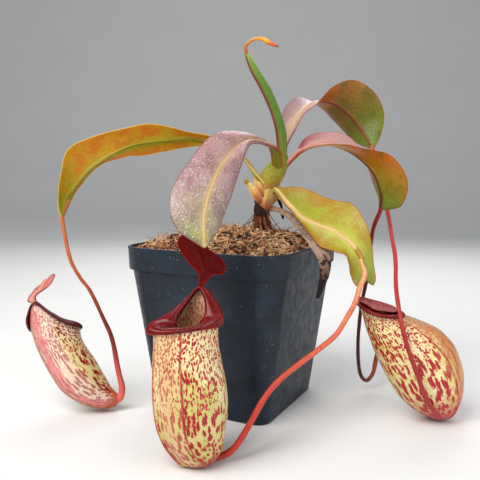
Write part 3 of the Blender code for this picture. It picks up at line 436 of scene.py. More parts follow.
def make_mesh(name, points, faces, materials, face_materials=None, fields=None, smooth=True):
    """A mesh from points and faces, with named values on its points for the shaders."""
    points = np.clip(np.asarray(points, float).reshape(-1, 3), LOW_CORNER, HIGH_CORNER)
    mesh = bpy.data.meshes.new(name)
    mesh.from_pydata(points.tolist(), [], faces)
    for material in materials:
        mesh.materials.append(material)
    if face_materials is not None:
        mesh.polygons.foreach_set("material_index", np.asarray(face_materials, np.int32))
    for field, values in (fields or {}).items():
        values = np.asarray(values, np.float32)
        kind = "FLOAT_VECTOR" if values.ndim == 2 else "FLOAT"
        layer = mesh.attributes.new(field, kind, "POINT")
        layer.data.foreach_set("vector" if values.ndim == 2 else "value", values.ravel())
    if smooth:
        mesh.shade_smooth()
    else:
        mesh.shade_flat()
    mesh.update()
    return add_object(name, mesh)


def add_object(name, data):
    thing = bpy.data.objects.new(name, data)
    bpy.context.scene.collection.objects.link(thing)
    return thing


def settle(piece, node=None):
    """The piece rides on the plant and may stand for a CAD node."""
    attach(piece, "root")
    if node:
        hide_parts(node)


def fix_winding(piece):
    """Turn a closed mesh the right way out, by the sign of its volume."""
    mesh = piece.data
    mesh.calc_loop_triangles()
    corners = np.zeros(len(mesh.loop_triangles) * 3, np.int32)
    mesh.loop_triangles.foreach_get("vertices", corners)
    places = np.zeros(len(mesh.vertices) * 3, np.float32)
    mesh.vertices.foreach_get("co", places)
    triangles = places.reshape(-1, 3)[corners.reshape(-1, 3)]
    volume = (triangles[:, 0] * np.cross(triangles[:, 1], triangles[:, 2])).sum()
    if volume < 0:
        mesh.flip_normals()


def make_piece(name, points, faces, materials, node=None, kinds=None, fields=None, smooth=True,
               wind=False):
    """A mesh that is part of the plant, turned the right way out where that is asked for.

    Kinds are the numbers of its faces' materials.
    """
    piece = make_mesh(name, points, faces, materials, kinds, fields, smooth)
    if wind:
        fix_winding(piece)
    settle(piece, node)


def tube_arrays(route, radii, steps, sides):
    """Points, faces and fields of a round tube with rounded ends, along a route in metres."""
    shares = np.linspace(0, 1, steps + 1)
    centres = spline(route, shares)
    radius = np.asarray(radii, float) if len(radii) == steps + 1 else straight(radii, shares)
    radius = radius * MM
    ahead = unit(np.gradient(centres, axis=0))
    across = np.array((0.0, 0.0, 1.0)) if abs(ahead[0][2]) < 0.9 else np.array((1.0, 0.0, 0.0))
    angles = np.linspace(0, 2 * math.pi, sides, endpoint=False)
    rings = []
    for index in range(steps + 1):
        across = unit(across - across.dot(ahead[index]) * ahead[index])
        beside = np.cross(ahead[index], across)
        rings.append(centres[index] + radius[index] * (np.cos(angles)[:, None] * across
                                                       + np.sin(angles)[:, None] * beside))

    def cap(end, way):
        """Two rings that round off an end, from its edge inward."""
        bulge = way * ahead[end] * radius[end] * CAP_BULGE
        spokes = rings[end] - centres[end]
        return [centres[end] + spokes * size + bulge * math.sqrt(1 - size ** 2) for size in CAP_SIZES]

    rings = cap(0, -1)[::-1] + rings + cap(-1, 1)
    rows = len(rings)
    along = np.concatenate(([0, 0], shares, [1, 1]))
    fields = {"along": np.repeat(along, sides), "round": np.tile(angles, rows)}
    return np.vstack(rings), capped_faces(rows, sides, flip=True), fields


def make_tube(name, node, route, radii, steps, sides, material):
    """A tube along a route of plant points, as a piece of its own."""
    points, faces, fields = tube_arrays(at(route), radii, steps, sides)
    make_piece(name, points, faces, (material,), node, None, fields)


def tinted_tube(route, radii, steps, sides, tint):
    """A tube along a route in millimetres, with one tint for all its points."""
    points, faces, _ = tube_arrays(np.array(route) * MM, radii, steps, sides)
    return points, faces, {"tint": np.full(len(points), tint)}


def merge(parts):
    """Several parts of points, faces and fields as one, faces renumbered."""
    faces = []
    start = 0
    for part_points, part_faces, _ in parts:
        faces.extend([corner + start for corner in face] for face in part_faces)
        start += len(part_points)
    fields = {field: np.concatenate([part[2][field] for part in parts]) for field in parts[0][2]}
    return np.vstack([part[0] for part in parts]), faces, fields


# Shaders

def paint(red, green, blue):
    """A colour in screen values from 0 to 255, as the renderer's linear values, deepened."""
    values = [value / 255 for value in (red, green, blue)]
    values = [v / 12.92 if v <= 0.04045 else ((v + 0.055) / 1.055) ** 2.4 for v in values]
    return tuple(v ** DEEPEN for v in values) + (1.0,)


class Paint:
    """A procedural material, built up from small helpers."""

    def __init__(self, name, roughness=0.5):
        self.material = bpy.data.materials.new(name)
        self.material.use_nodes = True
        self.tree = self.material.node_tree
        self.shader = self.tree.nodes["Principled BSDF"]
        self.shader.inputs["Roughness"].default_value = roughness
        coordinates = self.tree.nodes.new("ShaderNodeTexCoord")
        self.place = self.scaled(coordinates.outputs["Object"], (1000, 1000, 1000))

    def put(self, source, socket):
        """Link a socket, or set its value. Three numbers are a colour in screen values."""
        if isinstance(source, bpy.types.NodeSocket):
            self.tree.links.new(source, socket)
        elif isinstance(source, tuple) and len(source) == 3:
            socket.default_value = paint(*source)
        else:
            socket.default_value = source

    def node(self, kind, **values):
        """A new node with values put in its inputs, an underscore in a name standing for a space."""
        node = self.tree.nodes.new("ShaderNode" + kind)
        for name, value in values.items():
            self.put(value, node.inputs[name.replace("_", " ")])
        return node

    def scaled(self, vector, scale):
        node = self.tree.nodes.new("ShaderNodeVectorMath")
        node.operation = "MULTIPLY"
        self.put(vector, node.inputs[0])
        node.inputs[1].default_value = scale
        return node.outputs[0]

    def longer(self, share, thick=1.0):
        """The place for a pattern drawn out up and down: scales upright and sideways."""
        return self.scaled(self.place, (thick, thick, share))

    def field(self, name, output="Fac"):
        node = self.node("Attribute")
        node.attribute_name = name
        return node.outputs[output]

    def noise(self, scale, detail=3.0, roughness=0.55, vector=None):
        return self.node("TexNoise", Scale=scale, Detail=detail, Roughness=roughness,
                         Vector=vector or self.place).outputs["Fac"]

    def cells(self, scale, vector=None):
        return self.node("TexVoronoi", Scale=scale, Vector=vector or self.place).outputs["Distance"]

    def angle_round(self, vector):
        """The angle in degrees of a vector's x and y, from its y."""
        parts = self.node("SeparateXYZ", Vector=vector).outputs
        return self.times(self.math("ARCTAN2", parts["X"], parts["Y"]), 180 / math.pi)

    def away(self, angle, place):
        """How far an angle in degrees is from a place on the circle."""
        return self.math("ABSOLUTE", self.math("WRAP", self.minus(angle, place), 180.0, -180.0))

    def math(self, operation, *values):
        node = self.node("Math")
        node.operation = operation
        for value, socket in zip(values, node.inputs):
            self.put(value, socket)
        return node.outputs[0]

    def times(self, first, second):
        return self.math("MULTIPLY", first, second)

    def plus(self, first, second):
        return self.math("ADD", first, second)

    def minus(self, first, second):
        return self.math("SUBTRACT", first, second)

    def band(self, value, low, high, start=0.0, end=1.0):
        """A smooth step from start to end as the value goes from low to high."""
        node = self.node("MapRange", Value=value, From_Min=low, From_Max=high, To_Min=start, To_Max=end)
        node.interpolation_type = "SMOOTHSTEP"
        return node.outputs[0]

    def mix(self, factor, first, second):
        node = self.node("Mix")
        node.data_type = "RGBA"
        for value, number in ((factor, 0), (first, 6), (second, 7)):
            self.put(value, node.inputs[number])
        return node.outputs[2]

    def cover(self, colour, tone, pattern, low, high, start=0.0, end=1.0):
        """The tone laid over the colour as the pattern goes from low to high."""
        return self.mix(self.band(pattern, low, high, start, end), colour, tone)

    def ramp(self, value, stops):
        """A colour for each value. A stop is a place and a colour in screen values."""
        node = self.node("ValToRGB", Fac=value)
        elements = node.color_ramp.elements
        while len(elements) < len(stops):
            elements.new(0.5)
        for element, (place, *colour) in zip(elements, stops):
            element.position = place
            element.color = paint(*colour)
        return node.outputs["Color"]

    def bump(self, height, distance):
        """Relief in millimetres, on top of the relief set before."""
        node = self.node("Bump", Strength=1.0, Distance=distance * MM, Height=height)
        normal = self.shader.inputs["Normal"]
        if normal.is_linked:
            self.put(normal.links[0].from_socket, node.inputs["Normal"])
        self.put(node.outputs[0], normal)

    def done(self, colour, roughness=None, soft=0.0, soft_radius=SOFT_RADIUS, coat=0.0, shine=0.4):
        """The finished material. Soft is the share of light that goes through the skin."""
        values = {"Base Color": colour, "Specular IOR Level": shine, "Subsurface Weight": soft,
                  "Coat Weight": coat}
        if roughness is not None:
            values["Roughness"] = roughness
        if coat:
            values["Coat Roughness"] = COAT_ROUGHNESS
        for name, value in values.items():
            self.put(value, self.shader.inputs[name])
        if soft:
            self.shader.inputs["Subsurface Radius"].default_value = soft_radius
            self.shader.inputs["Subsurface Scale"].default_value = MM
        return self.material


def leaf_paint(name, middle, outer, rib, edge, vein=0.25, mottle=0.5, specks=0.0, roughness=0.36,
               rib_width=1.0, patch=None, veil=None, glow=0.22, shine=0.35):
    """A leaf's side: colours along the middle and the outer part, with midrib, veins and margin."""
    make = Paint(name, roughness)
    along = make.field("along")
    from_rib = make.field("from_rib")
    from_edge = make.field("from_edge")
    spread = make.math("ABSOLUTE", make.field("across"))
    broad = make.noise(0.10, 4, 0.6)
    fine = make.noise(0.55, 4, 0.65)
    outward = make.plus(spread, make.band(broad, 0.3, 0.7, -0.45 * mottle, 0.45 * mottle))
    colour = make.mix(make.band(outward, 0.15, 0.95), make.ramp(along, middle), make.ramp(along, outer))
    if patch is not None:
        colour = make.cover(colour, patch, broad, 0.47, 0.62, 0.0, 0.75 * mottle)
    colour = make.cover(colour, make.mix(0.5, colour, DARK_OLIVE), fine, 0.35, 0.7, 0.0, 0.30 * mottle)
    wave = make.math("SINE", make.plus(make.times(spread, 38.0), make.times(fine, 5.0)))
    lines = make.band(wave, 0.55, 1.0, 0.0, 0.6)
    slant = make.plus(make.times(along, 230.0), make.times(from_rib, -1.3))
    cross = make.band(make.math("SINE", make.plus(slant, make.times(fine, 7.0))), 0.55, 1.0, 0.0, 0.45)
    veins = make.math("MAXIMUM", lines, cross)
    colour = make.mix(make.times(veins, vein), colour, make.mix(0.5, colour, rib))
    if veil is not None:
        colour = make.cover(colour, veil, make.noise(0.9, 5, 0.75), 0.42, 0.75, 0.0, 0.35)
    if specks:
        dots = make.times(make.band(make.cells(0.8), 0.13, 0.28, 1.0, 0.0),
                          make.band(make.noise(0.16, 2), 0.43, 0.58))
        tiny = make.times(make.band(make.cells(1.9), 0.12, 0.30, 0.85, 0.0),
                          make.band(make.noise(0.3, 2), 0.42, 0.60))
        marks = make.times(make.math("MAXIMUM", dots, tiny), make.band(from_rib, 0.8, 1.6, 0.0, specks))
        colour = make.mix(marks, colour, (236, 228, 230))
    colour = make.cover(colour, rib, from_rib, rib_width * 0.9, rib_width * 4.0, glow, 0.0)
    colour = make.cover(colour, rib, from_rib, rib_width * 0.6, rib_width * 1.1, 0.9, 0.0)
    colour = make.cover(colour, edge, from_edge, 0.15, 0.75, 0.7, 0.0)
    make.bump(veins, 0.10)
    make.bump(make.noise(1.6, 4, 0.6), 0.16)
    rough = make.band(make.noise(0.7, 3), 0.3, 0.75, roughness - 0.06, roughness + 0.12)
    return make.done(colour, rough, soft=0.12, shine=shine)


# Leaves

def blade_columns(count):
    """Places across a blade, set closer at the midrib and at the edges."""
    base = np.linspace(-1, 1, count)
    return np.sign(base) * (0.30 * np.abs(base) + 0.70 * (1 - np.cos(np.abs(base) * math.pi)) / 2)


def blade(name, node, rows, materials, top_first, stations=110, columns=49, bow=1.0, wave=0.5,
          waves=3.0, base=3.6, rib=1.9, tip=2.2, seat=None, curl=0.0, crumple=0.0):
    """A leaf blade with a rounded midrib. Its materials are the top's and the underside's.

    Top first says that the top is on the side of the grid's normals. Bow is how far it arches on each
    side of the midrib. Base, rib and tip are the midrib's sizes.
    """
    across = blade_columns(columns)
    spread = np.abs(across)
    ease = 0.07
    reach = (np.sqrt(spread ** 2 + ease ** 2) - ease) / (math.sqrt(1 + ease ** 2) - ease)
    edges = [at([row[side] for row in rows]) for side in range(3)]
    if seat is not None:
        edges = [np.vstack((place, edge)) for place, edge in zip(seat, edges)]
    shares = np.linspace(0, 1, stations + 1)
    left, middle, right = (spline(edge, shares) for edge in edges)
    side = np.where(across[None, :, None] < 0, left[:, None], right[:, None])
    grid = middle[:, None] + (side - middle[:, None]) * reach[None, :, None]
    half_left = np.linalg.norm(left - middle, axis=1) / MM
    half_right = np.linalg.norm(right - middle, axis=1) / MM
    full = np.clip((half_left + half_right - STALK_WIDTH) / (OPEN_WIDTH - STALK_WIDTH), 0, 1)
    normals = grid_normals(grid)
    lift = bow * 4 * spread * (1 - spread)
    phase = np.where(across < 0, 1.3, 0.0)
    turns = 2 * math.pi * waves * shares[:, None]
    ripple = wave * across[None, :] ** 2 * np.sin(turns + phase[None, :])
    ripple = ripple + 0.22 * wave * spread[None, :] ** 3 * np.sin(turns * 3.7 + 2.1 * phase[None, :])
    offset = (lift[None, :] + ripple) * full[:, None]
    offset = offset - curl * (spread[None, :] ** 8) * full[:, None]
    if crumple:
        rough = np.array([[noise.noise(Vector(point) * 170) + 0.6 * noise.noise(Vector(point) * 420)
                           for point in line] for line in grid])
        offset = offset + crumple * rough * (0.35 + 0.65 * full[:, None])
    grid = grid + normals * offset[..., None] * MM
    normals = grid_normals(grid)
    centre = normals[:, columns // 2][:, None]
    normals = unit(centre + (normals - centre) * full[:, None, None])
    half = np.where(across[None, :] < 0, half_left[:, None], half_right[:, None])
    from_rib = half * reach[None, :]
    from_edge = half * (1 - reach[None, :])
    size = rib + (base - rib) * np.maximum(0, 1 - shares * 5) + (tip - rib) * np.maximum(0, shares * 8 - 7)
    size = size[:, None]
    ridge = np.exp(-(from_rib / (0.42 * size + 0.35)) ** 2)
    flat = BLADE_THICKNESS * (1 - 0.55 * spread[None, :] ** 10)
    stalk = 0.5 + (size - 0.5) * np.sqrt(np.maximum(0, 1 - spread[None, :] ** 2))
    groove = 0.45 * np.exp(-(across[None, :] / 0.45) ** 2)
    grow = full[:, None]
    upper_depth = (flat * 0.5 + RIB_ON_TOP * ridge) * grow + stalk * 0.45 * (1 - groove) * (1 - grow)
    lower_depth = (flat * 0.5 + size * 0.58 * ridge) * grow + stalk * 0.55 * (1 - grow)
    upward = normals * (1.0 if top_first else -1.0)
    upper = grid + upward * upper_depth[..., None] * MM
    lower = grid - upward * lower_depth[..., None] * MM
    rows_count = stations + 1
    count = rows_count * columns
    top = grid_faces(rows_count, columns, flip=not top_first)
    under = grid_faces(rows_count, columns, start=count, flip=top_first)
    ids = np.arange(count).reshape(rows_count, columns)
    loop = np.concatenate((ids[0], ids[1:, -1], ids[-1, -2::-1], ids[-2:0:-1, 0]))
    ahead = np.roll(loop, -1)
    border = np.stack((loop, ahead, ahead + count, loop + count), -1)
    border = (border[:, ::-1] if top_first else border).tolist()
    kinds = [0] * len(top) + [1] * (len(under) + len(border))
    fields = {"along": np.repeat(shares, columns), "across": np.tile(across, rows_count),
              "from_rib": from_rib.ravel(), "from_edge": from_edge.ravel()}
    fields = {field: np.tile(values, 2) for field, values in fields.items()}
    make_piece(name, np.stack((upper, lower)), top + under + border, materials, node, kinds, fields)


def make_leaves():
    ochre_top = leaf_paint(
        "leaf_left_top",
        [(0.0, 150, 150, 90), (0.5, 165, 135, 110), (1.0, 140, 150, 70)],
        [(0.0, 150, 130, 90), (0.5, 150, 110, 105), (1.0, 150, 150, 80)],
        (205, 180, 110), (190, 120, 110), veil=(200, 180, 185))
    ochre_under = leaf_paint(
        "leaf_left_under",
        [(0.0, 216, 130, 110), (0.08, 206, 214, 140), (0.40, 210, 178, 24), (0.62, 216, 166, 8),
         (0.82, 188, 162, 8), (1.0, 128, 148, 44)],
        [(0.0, 206, 206, 120), (0.28, 222, 194, 36), (0.5, 222, 150, 6), (0.75, 216, 158, 8),
         (0.9, 184, 162, 16), (1.0, 140, 164, 60)],
        (166, 164, 40), (226, 206, 120), vein=0.22, mottle=0.8, patch=(216, 120, 4), rib_width=1.1,
        glow=0.5)
    mauve_top = leaf_paint(
        "leaf_front_top",
        [(0.0, 160, 160, 60), (0.15, 190, 128, 100), (0.4, 188, 144, 142), (0.65, 178, 150, 144),
         (0.84, 160, 154, 112), (0.94, 150, 162, 74), (1.0, 120, 134, 50)],
        [(0.0, 160, 140, 60), (0.15, 176, 104, 104), (0.4, 174, 124, 126), (0.65, 168, 134, 134),
         (0.86, 158, 142, 122), (1.0, 128, 138, 62)],
        (212, 182, 126), (128, 44, 58), vein=0.2, mottle=0.6, specks=0.9, roughness=0.28,
        patch=(136, 92, 100), veil=(222, 210, 208), rib_width=0.75, glow=0.35, shine=0.5)
    mauve_under = leaf_paint(
        "leaf_front_under",
        [(0.0, 150, 150, 30), (0.14, 150, 132, 24), (0.3, 170, 110, 20), (0.6, 150, 110, 40),
         (1.0, 140, 140, 50)],
        [(0.0, 140, 140, 30), (0.14, 168, 118, 20), (0.3, 176, 96, 20), (0.6, 160, 100, 30),
         (1.0, 150, 140, 50)],
        (140, 134, 40), (196, 84, 34), mottle=0.8)
    green_top = leaf_paint(
        "leaf_low_top",
        [(0.0, 138, 156, 50), (0.3, 170, 174, 54), (0.7, 190, 194, 80), (1.0, 150, 164, 56)],
        [(0.0, 164, 146, 40), (0.3, 180, 140, 28), (0.6, 176, 154, 38), (0.85, 156, 158, 46),
         (1.0, 140, 152, 44)],
        (240, 206, 152), (176, 84, 24), vein=0.2, mottle=0.5, patch=(184, 140, 30), rib_width=1.1,
        specks=0.2, glow=0.22)
    green_under = leaf_paint(
        "leaf_low_under",
        [(0.0, 134, 148, 34), (0.5, 148, 152, 34), (1.0, 140, 156, 44)],
        [(0.0, 150, 144, 40), (0.5, 176, 130, 20), (0.8, 160, 146, 24), (1.0, 134, 150, 34)],
        (190, 150, 70), (180, 96, 24), mottle=0.8)
    rose_top = leaf_paint(
        "leaf_right_top",
        [(0.0, 190, 120, 80), (0.15, 168, 84, 88), (0.32, 206, 164, 160), (0.6, 198, 160, 146),
         (1.0, 170, 130, 100)],
        [(0.0, 170, 80, 60), (0.18, 142, 70, 72), (0.34, 198, 156, 156), (0.6, 190, 142, 130),
         (1.0, 160, 110, 90)],
        (214, 160, 140), (160, 60, 44), vein=0.12, mottle=0.6, veil=(220, 200, 200), rib_width=0.8)
    olive_under = leaf_paint(
        "leaf_right_under",
        [(0.0, 176, 184, 26), (0.25, 182, 178, 20), (0.45, 196, 128, 6), (0.65, 172, 126, 8),
         (0.85, 130, 134, 12), (1.0, 106, 136, 24)],
        [(0.0, 190, 160, 16), (0.25, 192, 170, 18), (0.45, 206, 118, 4), (0.65, 196, 118, 4),
         (0.85, 162, 136, 10), (1.0, 110, 136, 26)],
        (112, 26, 8), (178, 76, 14), vein=0.2, mottle=0.8, patch=(106, 112, 12), rib_width=0.75, glow=0.2)
    pink_top = leaf_paint(
        "leaf_back_top",
        [(0.0, 220, 200, 150), (0.15, 212, 184, 164), (0.35, 196, 160, 156), (1.0, 170, 120, 100)],
        [(0.0, 200, 170, 140), (0.15, 178, 142, 144), (0.35, 166, 134, 142), (1.0, 150, 100, 90)],
        (232, 200, 160), (140, 100, 106), vein=0.12, mottle=0.6, veil=(210, 196, 204), rib_width=0.8,
        glow=0.3)
    forest_under = leaf_paint(
        "leaf_back_under",
        [(0.0, 180, 150, 60), (0.4, 184, 104, 6), (0.58, 158, 108, 8), (0.76, 112, 116, 12),
         (1.0, 112, 146, 36)],
        [(0.0, 180, 140, 60), (0.4, 198, 108, 6), (0.58, 176, 112, 8), (0.76, 122, 122, 12),
         (1.0, 120, 150, 36)],
        (140, 44, 16), (186, 92, 24), vein=0.2, mottle=0.9, patch=(112, 104, 12), rib_width=0.75,
        specks=0.2, glow=0.15)
    # Name, node, stations, skins, slot, whether the top is on the normals' side, bow, ripple, its waves
    leaves = (
        ("left", "leaf_left", LEAF_LEFT, (ochre_top, ochre_under), "leaf_ochre", False, -0.9, 0.6, 3.0),
        ("front", "leaf_front", LEAF_FRONT, (mauve_top, mauve_under), "leaf_mauve", True, 1.6, 0.5, 2.5),
        ("low", "leaf_low_right", LEAF_LOW, (green_top, green_under), "leaf_green", False, 1.2, 0.8, 2.5),
        ("right", "leaf_right", LEAF_RIGHT, (rose_top, olive_under), "leaf_olive", False, 1.2, 0.6, 2.5),
        ("back", "leaf_back", LEAF_BACK, (pink_top, forest_under), "leaf_olive", False, 1.2, 0.5, 2.5),
    )
    for name, node, rows, skins, slot, top_first, bow, wave, waves in leaves:
        blade("leaf_blade_" + name, node, rows, skins, top_first, bow=bow, wave=wave, waves=waves)


def make_dead_leaf():
    make = Paint("leaf_dry", 0.75)
    along = make.field("along")
    colour = make.ramp(
        along, [(0.0, 176, 136, 104), (0.3, 204, 172, 146), (0.6, 206, 178, 156), (0.72, 180, 134, 100),
        (0.82, 104, 58, 34), (1.0, 34, 22, 18)])
    streak = make.noise(0.8, 5, 0.7, make.longer(0.35))
    colour = make.cover(colour, (104, 82, 74), streak, 0.35, 0.7, 0.0, 0.55)
    colour = make.cover(colour, (150, 132, 134), make.noise(0.22, 4, 0.6), 0.50, 0.64, 0.0, 0.6)
    burnt = make.plus(make.noise(0.28, 4, 0.6), make.band(along, 0.45, 0.95, 0.0, 0.30))
    colour = make.cover(colour, (44, 28, 22), burnt, 0.63, 0.74)
    make.bump(streak, 0.5)
    make.bump(make.noise(2.5, 4, 0.7), 0.3)
    dry = make.done(colour)
    blade("leaf_blade_dead", "leaf_dead", LEAF_DEAD, (dry, dry), False, stations=90, columns=37,
          bow=0.8, wave=0.9, waves=4.0, base=1.8, rib=1.0, tip=1.0, crumple=0.9, curl=-0.6)
    char = Paint("strip_black", 0.8)
    char.bump(char.noise(1.5, 4), 0.4)
    black = char.done(char.mix(char.noise(0.8, 4), (20, 16, 15), (60, 44, 36)))
    shares = np.linspace(0, 1, 49)
    radii = 1.05 - 0.25 * shares + 0.12 * np.sin(shares * 23)
    make_tube("dry_strip", "dead_strip", STRIP_ROUTE, radii, 48, 10, black)


# Tendrils and spear

def tendril_paint(name, stops, shade):
    make = Paint(name, 0.34)
    colour = make.ramp(make.field("along"), stops)
    colour = make.cover(colour, shade, make.noise(0.9, 4, 0.65, make.longer(0.3)), 0.42, 0.68, 0.0, 0.55)
    colour = make.cover(colour, make.mix(0.6, colour, (90, 10, 8)), make.cells(1.8), 0.08, 0.22, 0.55, 0.0)
    make.bump(make.noise(1.4, 4, 0.6), 0.22)
    return make.done(colour, soft=0.1)


def make_tendril(name, node, before, route, after, radii, material):
    """A tendril that starts inside its leaf's midrib and ends inside its pitcher's foot."""
    steps = 150
    shares = np.linspace(0, 1, steps + 1)
    sizes = [radii[0] * 0.75, *straight(radii, np.linspace(0, 1, len(route))), radii[-1]]
    lumps = 1 + 0.03 * np.sin(shares * 61) + 0.02 * np.sin(shares * 143)
    radii = straight(sizes, shares) * lumps
    make_tube(name, node, (before, *route, after), radii, steps, 16, material)


def make_tendrils():
    left = tendril_paint(
        "tendril_left_skin", [(0.0, 196, 140, 70), (0.18, 210, 130, 84), (0.42, 176, 84, 36),
        (0.52, 120, 38, 16), (0.60, 130, 40, 26), (0.66, 214, 100, 92), (0.8, 236, 128, 118),
        (1.0, 226, 104, 92)], (190, 90, 50))
    front = tendril_paint(
        "tendril_front_skin", [(0.0, 236, 196, 150), (0.1, 232, 172, 132), (0.3, 222, 126, 92),
        (0.55, 208, 84, 62), (0.85, 200, 70, 58), (1.0, 190, 56, 48)], (190, 70, 48))
    back = tendril_paint(
        "tendril_back_skin", [(0.0, 200, 90, 60), (0.12, 206, 92, 80), (0.35, 196, 74, 66),
        (0.6, 178, 50, 44), (0.85, 190, 52, 52), (1.0, 196, 62, 60)], (150, 36, 34))
    wine = tendril_paint(
        "tendril_young_skin", [(0.0, 160, 40, 30), (0.16, 148, 40, 32), (0.36, 112, 26, 20),
        (0.58, 96, 22, 14), (0.72, 126, 50, 24), (0.82, 184, 104, 52), (1.0, 170, 96, 48)], (84, 20, 14))
    make_tendril("tendril_to_left", "tendril_left", (-93, -20, 121), TENDRIL_LEFT, (-75, -24, 8.5),
                 LEFT_TENDRIL_RADII, left)
    make_tendril("tendril_to_front", "tendril_front", (67.5, -37.5, 89), TENDRIL_FRONT, (-12, -88, 3.2),
                 TENDRIL_RADII, front)
    make_tendril("tendril_to_right", "tendril_right", (85.5, 32, 155.5), TENDRIL_BACK, (113.3, -38, 5),
                 BACK_TENDRIL_RADII, back)
    make_tendril("tendril_to_young", "tendril_young", (83.6, -13.6, 118), TENDRIL_RIGHT, (92, 12.8, 28),
                 DARK_TENDRIL_RADII, wine)


def make_spear():
    make = Paint("spear_skin", 0.38)
    facing = make.math("COSINE", make.minus(make.field("round"), make.field("seam")))
    green = make.ramp(
        make.field("along"), [(0.0, 150, 160, 60), (0.25, 104, 138, 46), (0.7, 112, 146, 52),
        (1.0, 150, 176, 90)])
    lines = make.noise(1.2, 4, 0.6, make.longer(0.12, 2.2))
    green = make.cover(green, (76, 106, 34), lines, 0.4, 0.65, 0.0, 0.6)
    colour = make.cover(green, (110, 26, 20), facing, 0.50, 0.72)
    colour = make.cover(colour, (150, 60, 30), facing, 0.30, 0.52, 0.0, 0.6)
    make.bump(lines, 0.25)
    skin = make.done(colour, soft=0.12)
    steps = 90
    sides = 48
    shares = np.linspace(0, 1, steps + 1)
    points, faces, fields = tube_arrays(at(SPEAR_ROUTE), straight(SPEAR_RADII, shares), steps, sides)
    centres = spline(at(SPEAR_ROUTE), np.concatenate(([0, 0], shares, [1, 1])))[:, None]
    outward = points.reshape(-1, sides, 3) - centres
    leftward = at((-1.0, 0.1, 0.0)) / MM
    facing_left = (unit(outward) * leftward).sum(-1)
    angles = fields["round"].reshape(-1, sides)
    seam = angles[np.arange(len(angles)), facing_left.argmax(1)]
    fold = np.cos(angles - seam[:, None] - 2.2)
    squeeze = 1 - 0.16 * np.exp(-((fold - 1) / 0.012) ** 2)[..., None]
    points = centres + outward * squeeze
    fields["seam"] = np.repeat(seam, sides)
    make_piece("spear_leaf", points, faces, (skin,), "leaf_spear", None, fields)

    tip = Paint("spear_tendril_skin", 0.36)
    colour = tip.ramp(
        tip.field("along"), [(0.0, 150, 70, 30), (0.25, 190, 110, 40), (0.5, 222, 160, 60),
        (0.8, 232, 180, 70), (0.92, 210, 110, 40), (1.0, 170, 50, 30)])
    colour = tip.cover(colour, (190, 100, 30), tip.noise(1.1, 4), 0.45, 0.7, 0.0, 0.5)
    tip.bump(tip.noise(2.0, 3), 0.2)
    gold = tip.done(colour, soft=0.1)
    shares = np.linspace(0, 1, 81)
    radii = straight(SPEAR_TENDRIL_RADII, shares) * (1 - 0.12 * np.exp(-((shares - 0.72) / 0.02) ** 2))
    route = ((7.4, 0, 201.5), *SPEAR_TENDRIL)
    make_tube("spear_hook", "spear_tendril", route, radii, 80, 16, gold)


# Pitchers

class Pitcher:
    """Rings of one pitcher, each made from its place along the body and its angles."""

    def __init__(self, shape):
        centres, self.widths, self.depths = zip(*shape["rings"])
        self.centres = at(centres)
        self.front = unit(at(shape["front"]))
        self.side = unit(at(shape["side"]))
        self.mouth_normal = unit(np.cross(self.front, self.side))
        if self.mouth_normal[2] < 0:
            self.mouth_normal = -self.mouth_normal
        self.rise = shape["rise"]
        self.lip = shape["lip"]
        self.wings = shape["wings"]

    def ring(self, share, angles, inset=0.0, wings=True):
        """Points of the wall at a share of its length, at angles in degrees from the front."""
        near = np.array((share, max(share - 0.03, 0.0), min(share + 0.03, 1.0)))
        centre, before, after = spline(self.centres, near)
        axis = unit(after - before)
        turned = max(0.0, (share - TURN_START) / (1 - TURN_START))
        turned = turned * turned * (3 - 2 * turned)
        front = unit(self.front - self.front.dot(axis) * axis)
        side = self.side - self.side.dot(axis) * axis
        side = unit(side - side.dot(front) * front)
        front = front + (self.front - front) * turned
        side = side + (self.side - side) * turned
        width = float(straight(self.widths, share)) - inset
        depth = float(straight(self.depths, share)) - inset
        around = np.radians(angles)
        back = (1 - np.cos(around)) / 2
        pinch = 1 - NECK_PINCH * turned * back ** 3
        ridge = 0.0
        if wings:
            away = np.min([np.abs((angles - wing + 180) % 360 - 180) for wing in self.wings], axis=0)
            ridge = WING_HEIGHT * math.sin(math.pi * min(1.0, share / WING_END)) ** 0.5
            ridge = ridge * np.exp(-(away / WING_SPREAD) ** 2)
        level = np.where(np.cos(around) < 0, np.sin(around), 1.0)
        arm = (np.hypot(level, APEX_ROUND) - APEX_ROUND) / (math.hypot(1.0, APEX_ROUND) - APEX_ROUND)
        rise = self.rise * turned * ((1 - ARM_SHARE) * back ** 1.6 + ARM_SHARE * (1 - arm))
        points = (centre + side * ((width + ridge) * np.sin(around) * pinch * MM)[:, None]
                  + front * ((depth + ridge) * np.cos(around) * MM)[:, None])
        rest = (REST_LEVEL + inset) * MM
        over = points[:, 2] + rise * MM - rest
        points[:, 2] = rest + (over + np.hypot(over, REST_EASE * MM)) / 2
        return points

    def smooth_ring(self, share, angles, inset=0.0, wings=True):
        """A ring whose size is eased between stations, so that the body has no kinks."""
        shifts = (-0.02, 0.0, 0.02) if 0.03 < share < 0.97 else (0.0,)
        return np.mean([self.ring(share + shift, angles, inset, wings) for shift in shifts], axis=0)

    def rim(self, angles):
        """The middle of the wall's edge, with the directions up from it and outward."""
        edge = self.ring(1.0, angles, CUP_WALL / 2, False)
        below = self.ring(0.9, angles, CUP_WALL / 2, False)
        along = self.ring(1.0, angles + 2, CUP_WALL / 2, False) - edge
        up = unit(unit(edge - below) + self.mouth_normal)
        outward = unit(np.cross(along, up))
        inside = self.ring(1.0, angles, CUP_WALL, False)
        sign = np.sign(((edge - inside) * outward).sum(-1, keepdims=True))
        return edge, up, outward * sign


